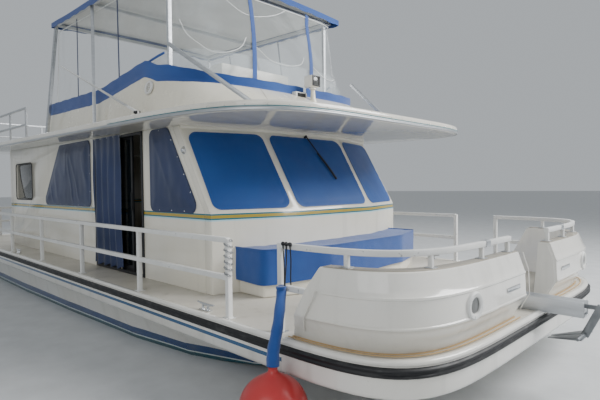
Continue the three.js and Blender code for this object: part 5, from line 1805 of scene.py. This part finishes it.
@dataclass
class BridgePlan:
    """Plan curves and heights of the flying bridge's coaming and clear walls."""

    base: PlanCurve = PlanCurve(1.5, 2.4, 1.68, 3.2)
    top: PlanCurve = PlanCurve(1.5, 1.69, 1.6, 3.5)
    head: PlanCurve = PlanCurve(1.5, 0.915, 1.5, 10)
    aft_x: float = -1.56
    curtain_aft: float = -1.2
    curtain_inset: float = 0.04
    curtain_below: float = 0.079
    heights: tuple[Pair, ...] = ((-1.56, 0.432), (0.64, 0.42), (1.98, 0.6), (2.23, 0.507), (3.19, 0.387))
    seat: float = 0.0012

    def stations(self, aft_x: float, spacing: float = 0.09) -> list[Station]:
        """Cuts from the starboard aft end round the front to the port aft end."""
        straight = round((1.56 - aft_x) / spacing)
        xs = [aft_x + (1.56 - aft_x) * i / straight for i in range(straight)]
        angles = self.top.angles(-1.5, 1.5, spacing)
        starboard, port = [Station(-1, x) for x in xs], [Station(1, x) for x in reversed(xs)]
        return starboard + [Station(0, angle=a) for a in angles] + port

    @staticmethod
    def on(curve: PlanCurve, station: Station, inset: float) -> Pair:
        """Plan point of a curve at a station."""
        if station.x is None:
            return curve.point(station.angle, inset)
        return station.x, station.side * (curve.b - inset)

    def height(self, x: float) -> float:
        """Height of the coaming above the roof at its top's x."""
        return looked_up(self.heights, x)

    def wall(self, station: Station, share: float, inset: float, rise: float = 0.0003) -> Point:
        """Point on the coaming: share 0 at its foot, 1 at its top."""
        low, high = self.on(self.base, station, inset), self.on(self.top, station, inset)
        top_x = self.on(self.top, station, 0)[0]
        x, y = (p + (q - p) * share for p, q in zip(low, high))
        return x, y, RoofPlan.top(x) + self.height(top_x) * min(share, 1) + rise

    def curtain(self, station: Station, share: float, inset: float = 0.0) -> Point:
        """Point on the clear wall: share 0 on the coaming, 1 under the canvas top."""
        low = self.on(self.top, station, self.curtain_inset + inset)
        high = self.on(self.head, station, inset)
        low_z = RoofPlan.top(low[0]) + self.height(self.on(self.top, station, 0)[0]) + self.seat
        x, y = (p + (q - p) * share for p, q in zip(low, high))
        return x, y, low_z + (self.canopy(high[0]) - self.curtain_below - low_z) * share

    @staticmethod
    def canopy(x: float) -> float:
        """Height of the canvas top's edge at x."""
        return 4.53 + (2.43 - x) * 0.034

    def outside(self, x: float, z: float, side: int) -> Point:
        """Point on the clear wall's outer face at x and z, on one side."""
        nearest, found = 1e9, (x, 0.0, z)
        for station in self.stations(self.curtain_aft, 0.03):
            low, high = self.curtain(station, 0), self.curtain(station, 1)
            share = (z - low[2]) / (high[2] - low[2])
            at = self.curtain(station, share, -0.004)
            if at[1] * side > 0 and abs(at[0] - x) < nearest:
                nearest, found = abs(at[0] - x), at
        return found


@dataclass
class FlyingBridge:
    """Coaming, canvas, clear walls, canvas top on its frame, helm and lights."""

    plan: BridgePlan
    wall_thick: float = 0.08
    light_x: float = 3.33
    wheel_x: float = 2.16
    side_zips: tuple[Pair, ...] = ((-0.25, -0.40), (1.2, 1.05))
    front_straps: tuple[Pair, ...] = ((-26, -17), (4, 43))
    loops: tuple[tuple[Pair, ...], ...] = (
        ((-56, 0.56), (-53, 0.44), (-48, 0.36), (-43, 0.3), (-38, 0.3), (-33, 0.34), (-29, 0.4), (-26, 0.5)),
        ((-22, 0.44), (-18, 0.38), (-14, 0.32), (-8, 0.3), (-1, 0.3), (5, 0.32), (11, 0.36), (16, 0.44)),
        ((20, 0.36), (25, 0.27), (32, 0.25), (38, 0.28)),
        ((-36, 0.86), (-28, 0.78), (-19, 0.76), (-7, 0.8), (8, 0.87), (22, 0.96)))

    def build(self) -> None:
        """Builds the whole sub-assembly."""
        place("bridge_coaming_shell", self.coaming(), BRIDGE_GELCOAT, stands_for="bridge_coaming", smooth=32)
        self.skirts()
        self.curtain()
        self.screen()
        self.fittings()
        self.bimini()
        self.helm()
        self.seat()
        self.light()
        dressed("aerial", WHITE_PAINT, 0.0)

    def coaming(self) -> BMesh:
        """Coaming wall with a rolled top edge."""
        t = self.wall_thick
        rows = [(0, 0.0), (0.35, 0.0), (0.7, 0.0), (0.93, 0.0), (0.985, 0.004), (1, 0.016), (1, t - 0.016),
                (0.985, t - 0.004), (0.93, t), (0.5, t), (0, t)]
        stations = self.plan.stations(self.plan.aft_x)
        return sweep([[self.plan.wall(station, share, inset) for share, inset in rows]
                      for station in stations])

    def skirts(self) -> None:
        """Blue canvas along the coaming's top, lapped over its edge."""
        for side in Side:
            stations = [s for s in self.plan.stations(self.plan.aft_x, 0.05)
                        if (s.side or (1 if s.angle > 0 else -1)) == side.value]
            rings = []
            for number, station in enumerate(stations):
                x = self.plan.on(self.plan.top, station, 0)[0]
                tall, drop = 0.18 - 0.075 * smoothstep(2.3, 3.1, x), 0.028
                ring = []
                for share in shares(8):
                    ripple = 0.004 * drift(x * 6, station.angle * 6, share * 2 + side.value)
                    px, py, pz = self.plan.wall(station, 1, 0.006 - 0.008 * (share < 0.2) + ripple)
                    wave = 0.004 * math.sin(number * 0.9) * (share in (0, 1))
                    ring.append((px, py, pz - drop + (tall + drop) * share + wave))
                rings.append(ring)
            bm = facing(sweep(rings, closed=False, capped=False), (0, side.value, 0))
            made = place(f"coaming_canvas_{side.label}", bm, BLUE_CANVAS,
                         stands_for=f"coaming_skirt_{side.label}", cloth=True, smooth=60)

    def curtain(self) -> None:
        """Clear walls with their piping and the blue strips over the zips."""
        stations = self.plan.stations(self.plan.curtain_aft, 0.07)
        rings = []
        for number, station in enumerate(stations):
            ring = []
            for share in (0.02 + 0.965 * part for part in shares(18)):
                belly = 0.012 * math.sin(math.pi * share) * drift(number * 0.31, share * 3, 0.4)
                ring.append(self.plan.curtain(station, share, belly))
            rings.append(ring)
        bm = sweep(rings, closed=False, capped=False)
        made = place("clear_curtain", bm, CLEAR, stands_for="bridge_curtain", smooth=60, cloth=True)
        zips = [along([self.plan.curtain(Station(side.value, low + (high - low) * t), t, -0.006)
                       for t in shares(8)],
                      bar(0.034, 0.004, 0.0015), up=(0, 1, 0))
                for side in Side for low, high in self.side_zips]
        place("side_zips", merged(*zips), NAVY_VINYL, cloth=True)
        straps = [along([self.plan.curtain(Station.ahead(low + (high - low) * t), t, -0.006)
                         for t in shares(8)], bar(0.07, 0.004, 0.0015), up=(1, 0, 0.2))
                  for low, high in self.front_straps]
        place("front_straps", merged(*straps), BLUE_CANVAS, cloth=True)
        place("curtain_piping", merged(*self.piping()), PIPING)

    def piping(self) -> list[BMesh]:
        """White welts: along the curtain's head, foot and aft ends, and round its roll-up panels."""
        stations = self.plan.stations(self.plan.curtain_aft, 0.12)
        lines = [[self.plan.curtain(s, share, -0.004) for s in stations] for share in (0.03, 0.965)]
        lines += [[self.plan.curtain(end, 0.02 + 0.95 * t, -0.004) for t in shares(12)]
                  for end in (stations[0], stations[-1])]
        for loop in self.loops:
            bends = curve_through([(angle, share, 0) for angle, share in loop], 4)
            lines.append([self.plan.curtain(Station.ahead(p.x), p.y, 0.012) for p in bends])
        return [along(line, rod(0.0055, 8), up=(0.3, 0.2, 1)) for line in lines]

    def screen(self) -> None:
        """Rigid clear screen behind the curtain with its trimmed slanting edges."""
        source = frame["nodes"]["bridge_screen"]
        source.data.materials.clear()
        source.data.materials.append(CLEAR.material())
        edges = []
        for side in Side:
            points = [self.plan.outside(1.83 + 0.81 * t, 3.38 + 0.14 * t, side.value)
                      for t in (0, 0.15, 0.3, 0.45, 0.6)]
            edges.append(along(points, bar(0.012, 0.03, 0.004), up=(0, 0, 1)))
        place("screen_edge_trim", merged(*edges), BLUE_CANVAS, cloth=True)
        for side in Side:
            dressed(f"screen_brace_{side.label}", BRIGHT_BAR, 0.006, 2)

    def fittings(self) -> None:
        """Ring vents on the coaming's sides, the nose vent with painted shade in its opening, and the mould
        joints.
        """
        def ring_vent() -> BMesh:
            """Plain round vent with louvres on the starboard side."""
            x, y, z = 2.11, -1.62, 3.06
            tilt = Vector((0, -1, 0.18)).normalized()
            rim = turned([(0.055, -0.006), (0.055, 0.01), (0.062, 0.016), (0.078, 0.016), (0.086, 0.008),
                          (0.087, -0.01), (0.055, -0.006)], (x, y, z), tilt, 36)
            bars = [box((x - 0.05, y - 0.006, z + dz - 0.005), (x + 0.05, y + 0.004, z + dz + 0.005), 0.002)
                    for dz in (-0.032, -0.011, 0.011, 0.032)]
            return merged(rim, *bars)
        place_pair("coaming_ring_vent", ring_vent, WHITE_PAINT)
        hood = box((3.13, -0.235, 2.94), (3.255, -0.025, 3.038), 0.014, 3)
        place("nose_vent_frame", hood, WHITE_PAINT)
        # Near-black plate across the vent's front: painted shade standing for the opening under its hood.
        place("nose_vent_recess", box((3.24, -0.205, 2.972), (3.257, -0.055, 3.022), 0.003), RECESS_SHADE)
        seams = []
        for angle in (-24, 24):
            path = [self.plan.wall(Station.ahead(angle), share, -0.001) for share in (0.05, 0.4, 0.7, 0.97)]
            seams.append(along(path, bar(0.004, 0.004, 0.001), up=(0, 0, 1)))
        place("coaming_seams", merged(*seams), CAP_GELCOAT)

    def bimini(self) -> None:
        """Canvas top over square poles: crowned cloth, valance and hem."""
        dressed("bimini_frame", BRIGHT_BAR, 0.008, 3)
        low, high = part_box("bimini_top")
        half, crown, scallop = (high.y - low.y) / 2, 0.06, 0.31
        frames, hem_step = (-1.2, 0.3, 2.26), 0.0215
        rings = []
        for share in shares(60):
            x = low.x + (high.x - low.x) * share
            ring = []
            near = min(abs(x - bow) for bow in frames)
            sag = 0.018 * smoothstep(0.05, 0.6, near)
            for across in shares(40):
                y = half * (2 * across - 1)
                z = self.plan.canopy(x) + 0.014 + crown * (1 - (y / half) ** 2) - sag * (1 - (y / half) ** 4)
                z += 0.004 * drift(x * 2.2, y * 2.2, 0.3)
                ring.append((x, y * (1 - 0.004 * sag / 0.018), z))
            rings.append(ring)
        top = sweep(rings, closed=False, capped=False)
        rim = [e for e in top.edges if e.is_boundary]
        for step in range(1, 5):
            made = bmesh.ops.extrude_edge_only(top, edges=rim)["geom"]
            rim = [e for e in made if isinstance(e, bmesh.types.BMEdge) and e.is_boundary]
            for vert in (v for v in made if isinstance(v, bmesh.types.BMVert)):
                vert.co.z -= hem_step
                along_edge = vert.co.x if abs(abs(vert.co.y) - half) < 0.02 else vert.co.y
                if step == 4:
                    vert.co.z += 0.008 * math.cos(2 * math.pi * along_edge / scallop)
        bmesh.ops.recalc_face_normals(top, faces=top.faces)
        box_uv(top)
        made = place("bimini_canvas", facing(top, (0, 0, 1)), BLUE_CANVAS, stands_for="bimini_top", smooth=60,
                     cloth=True)
        lining = sweep([[(x, y, z - 0.004) for x, y, z in ring[1:-1]] for ring in rings[1:-1]], closed=False,
                       capped=False)
        lined = place("bimini_lining", lining, Canvas("pale_lining", "cream_gelcoat", "d8dad8", "e6e7e4"),
                      smooth=60, cloth=True)

    def helm(self) -> None:
        """Helm console with its dash, dials, shifter and wheel."""
        dressed("helm_console", BRIDGE_GELCOAT, 0.025, 3)
        panel_x, top = 2.25, RoofPlan.top(2.3)
        dash = along([(panel_x + 0.01, -0.86, top + 0.60), (panel_x + 0.01, 0.21, top + 0.60)],
                     bar(0.02, 0.02, 0.004))
        dials = []
        tilt = Vector((-0.84, 0, 0.54)).normalized()
        face = [(0, 0.004), (0.036, 0.004), (0.038, 0.012), (0.045, 0.012), (0.047, 0), (0, -0.002)]
        for i in range(5):
            at = Vector((panel_x + 0.068, -0.78 + 0.2 * i, top + 0.672))
            dials.append(turned(face, at, tilt, 24))
        place("helm_dials", merged(dash, *dials), BLACK)
        lever = along([(panel_x + 0.06, -0.02, top + 0.66), (panel_x - 0.02, -0.02, top + 0.80)],
                      rod(0.009, 10), up=(0, 1, 0))
        knob = turned([(0, -0.022), (0.016, -0.014), (0.021, 0), (0.016, 0.016), (0, 0.022)],
                      (panel_x - 0.024, -0.02, top + 0.806), (0, 0, 1), 16)
        place("throttle_lever", merged(lever, knob), POLISHED)
        centre = sum(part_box("helm_wheel"), Vector()) / 2
        centre.x = self.wheel_x
        rim = turned([(0.19 + 0.014 * math.cos(t), 0.014 * math.sin(t))
                      for t in (2 * math.pi * share for share in shares(12))],
                     centre, (-1, 0, 0), 48)
        spokes = []
        for i in range(3):
            turn = math.pi / 2 + i * 2 * math.pi / 3
            out = Vector((0, math.cos(turn), math.sin(turn)))
            spokes.append(along([centre + out * 0.02, centre + out * 0.1, centre + out * 0.185],
                                bar(0.03, 0.012, 0.004), up=(1, 0, 0), scale=lambda t: 1.1 - 0.5 * t))
        hub = turned([(0, 0.022), (0.026, 0.02), (0.036, 0.01), (0.036, -0.03), (0.022, -0.04), (0, -0.04)],
                     centre, (-1, 0, 0), 24)
        place("helm_wheel_rim", merged(rim, hub, *spokes), BLACK, "helm_wheel", "helm_wheel")

    def seat(self) -> None:
        """Double seat: plinth, two seat cushions and their backs."""
        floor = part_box("bridge_seat")[0].z
        plinth = box((1.48, -0.70, floor), (1.82, 0.10, floor + 0.29), 0.02, 3)
        place("seat_plinth", plinth, BRIDGE_GELCOAT, stands_for="bridge_seat")
        for number, y in enumerate((-0.55, -0.05)):
            for name, start, stop in (("cushion", (1.42, y - 0.235, floor + 0.295),
                                       (1.88, y + 0.235, floor + 0.40)),
                                      ("back", (1.41, y - 0.235, floor + 0.41),
                                       (1.50, y + 0.235, floor + 0.87))):
                pad = box(start, stop, 0.03, 4)
                bmesh.ops.subdivide_edges(pad, edges=pad.edges[:], cuts=1, use_grid_fill=True)
                middle = (Vector(start) + Vector(stop)) / 2
                size = Vector(stop) - Vector(start)
                for vert in pad.verts:
                    d = vert.co - middle
                    a, b = (d.x / size.x, d.y / size.y) if name == "cushion" else (d.z / size.z, d.y / size.y)
                    crown = max(0.0, (1 - (2 * a) ** 2)) * max(0.0, (1 - (2 * b) ** 2))
                    lift = 0.022 * crown
                    if name == "cushion" and d.z > 0:
                        vert.co.z += lift
                    if name == "back" and d.x > 0:
                        vert.co.x += lift
                made = place(f"seat_{name}_{number + 1}", pad, BLUE_CANVAS, stands_for="bridge_seat",
                             cloth=True, smooth=60, level=1)

    def light(self) -> None:
        """Searchlight with its lens, on its pedestal."""
        low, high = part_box("searchlight")
        x, z0 = self.light_x, high.z - 0.15
        x0, x1 = x - 0.095, x + 0.07
        yoke = turned([(0, 0), (0.04, 0), (0.042, 0.012), (0.03, 0.04), (0, 0.04)], (x, 0, low.z), (0, 0, 1),
                      24)
        body = box((x0, -0.075, z0), (x1 - 0.012, 0.075, high.z), 0.022, 4)
        place("searchlight_body", merged(yoke, body), DECK_GELCOAT, "searchlight", "searchlight")
        edge, foot_z, head_z = x1 - 0.008, z0 + 0.016, high.z - 0.016
        loop = [(edge, -0.06, foot_z), (edge, 0.06, foot_z), (edge, 0.06, head_z), (edge, -0.06, head_z)]
        rim = along(loop, bar(0.018, 0.014, 0.004), up=(1, 0, 0), joined=True)
        place("searchlight_rim", rim, BLACK, "searchlight")
        lens = box((x1 - 0.018, -0.058, z0 + 0.02), (x1 - 0.009, 0.058, high.z - 0.02), 0.003)
        place("searchlight_lens", lens, DARK_GLASS, "searchlight")
        foot = turned([(0, 0), (0.055, 0), (0.05, 0.02), (0.034, 0.05), (0.026, 0.165), (0, 0.165)],
                      (x, 0, low.z - 0.1655), (0, 0, 1), 28)
        place("searchlight_pedestal", foot, BRIDGE_GELCOAT)


@dataclass
class Stern:
    """Swim platform with its tread strips."""

    def build(self) -> None:
        """Builds the whole sub-assembly."""
        dressed("swim_platform", DECK, 0.012, 3)
        low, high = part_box("swim_platform")
        slots = [box((low.x + 0.09 + 0.09 * i, -1.35, high.z - 0.001),
                     (low.x + 0.10 + 0.09 * i, 1.35, high.z + 0.003), 0.001, 1)
                 for i in range(6)]
        place("platform_treads", merged(*slots), BLACK)


@dataclass
class Fender:
    """Ball fender at the starboard bow with its line in a blue sleeve."""

    centre: Point = (5.10, -2.3267, 0.307)
    radius: float = 0.245
    sleeve: float = 0.038
    gap: float = 0.0009

    def build(self) -> None:
        """Builds the whole sub-assembly."""
        r = self.radius
        profile = [(0, -r)] + [(r * math.sin(t), -r * math.cos(t))
                               for t in (math.pi * k / 28 for k in range(1, 25))]
        profile += [(0.062, 0.243), (0.036, 0.262), (0.030, 0.285), (0.034, 0.292), (0.034, 0.298),
                    (0.022, 0.3), (0, 0.3)]
        place("fender_ball", turned(profile, self.centre, (0, 0, 1), 48), RED_VINYL, stands_for="fender",
              smooth=50)
        x, y, _ = self.centre
        rail_y = -(BOW.b - Bow.rail_inset) - Bow.rail_bar / 2 - self.gap - self.sleeve
        points = [(4.905, rail_y, 1.09), (4.912, rail_y - 0.004, 1.03), (5.04, -2.22, 0.86),
                  (x - 0.006, y + 0.014, 0.717), (x, y, 0.609)]
        route = curve_through(points, 14)
        sleeve = along(route, rod(self.sleeve, 18), up=(1, 0, 0),
                       scale=lambda t: 1 + 0.25 * t * t + 0.04 * math.sin(37 * t))
        place("fender_line_sleeve", sleeve, BLUE_CANVAS, stands_for="fender_line", cloth=True, smooth=60)


@dataclass
class Studio:
    """Pale floor at the waterline, soft light and the camera at the photograph's angle."""

    eye: Point = (7.5288, -4.49485, 1.84181)
    yaw: float = 134.733
    pitch: float = 1.670
    roll: float = -0.640
    lens: float = 28.665

    def build(self) -> None:
        """Builds the floor, the lights and the camera."""
        self.camera()
        floor = bmesh.new()
        bmesh.ops.create_grid(floor, x_segments=1, y_segments=1, size=120)
        made = to_object("floor", floor)
        made.data.materials.append(Paint("pale_floor", "", "c9cbcc", "c2c4c5", 0.6).material())
        world = bpy.data.worlds.new("soft_sky")
        bpy.context.scene.world = world
        world.use_nodes = True
        world.node_tree.nodes["Background"].inputs[0].default_value = linear("dfe5ea")
        world.node_tree.nodes["Background"].inputs[1].default_value = 0.62
        self.softbox("key", (11, 6, 9), (1.5, 0, 1.5), 7, 2300)
        self.softbox("fill", (8, -12, 7), (2, -1, 1.5), 8, 420)
        self.softbox("back", (-12, 5, 9), (-2, 0, 1.5), 9, 700)

    def camera(self) -> None:
        """Camera where the photograph was taken."""
        yaw, pitch, roll = (math.radians(v) for v in (self.yaw, self.pitch, self.roll))
        ahead = Vector((math.cos(yaw) * math.cos(pitch), math.sin(yaw) * math.cos(pitch), -math.sin(pitch)))
        right = Vector((math.sin(yaw), -math.cos(yaw), 0))
        up = right.cross(ahead)
        right, up = (math.cos(roll) * right + math.sin(roll) * up,
                     -math.sin(roll) * right + math.cos(roll) * up)
        data = bpy.data.cameras.new("camera")
        data.lens, data.sensor_width, data.clip_end = self.lens, 36, 500
        made = linked("camera", data)
        axes = Matrix((right, up, -ahead)).transposed().to_4x4()
        made.matrix_world = Matrix.Translation(self.eye) @ axes
        bpy.context.scene.camera = made

    def softbox(self, name: str, place_at: Point, aim: Point, size: float, power: float) -> None:
        """Square area light that faces a point."""
        data = bpy.data.lights.new(name, "AREA")
        data.size, data.energy = size, power
        made = linked(name, data)
        made.location = place_at
        made.rotation_euler = (Vector(aim) - Vector(place_at)).to_track_quat("-Z", "Y").to_euler()


def write_sizes() -> None:
    """Brings the scene's placements up to date."""
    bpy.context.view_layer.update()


def main() -> None:
    """Builds every sub-assembly in order."""
    logging.basicConfig(level=logging.INFO, format="%(name)s %(message)s")
    parts = [Studio(), Hull(), Bow(), Rails(), Cabin(), WindowCovers(), Foredeck(), Roof(),
             FlyingBridge(BridgePlan()), Stern(), Fender()]
    for part in parts:
        part.build()
        log.info("%s done", type(part).__name__)
    write_sizes()


if __name__ == "__main__":
    main()
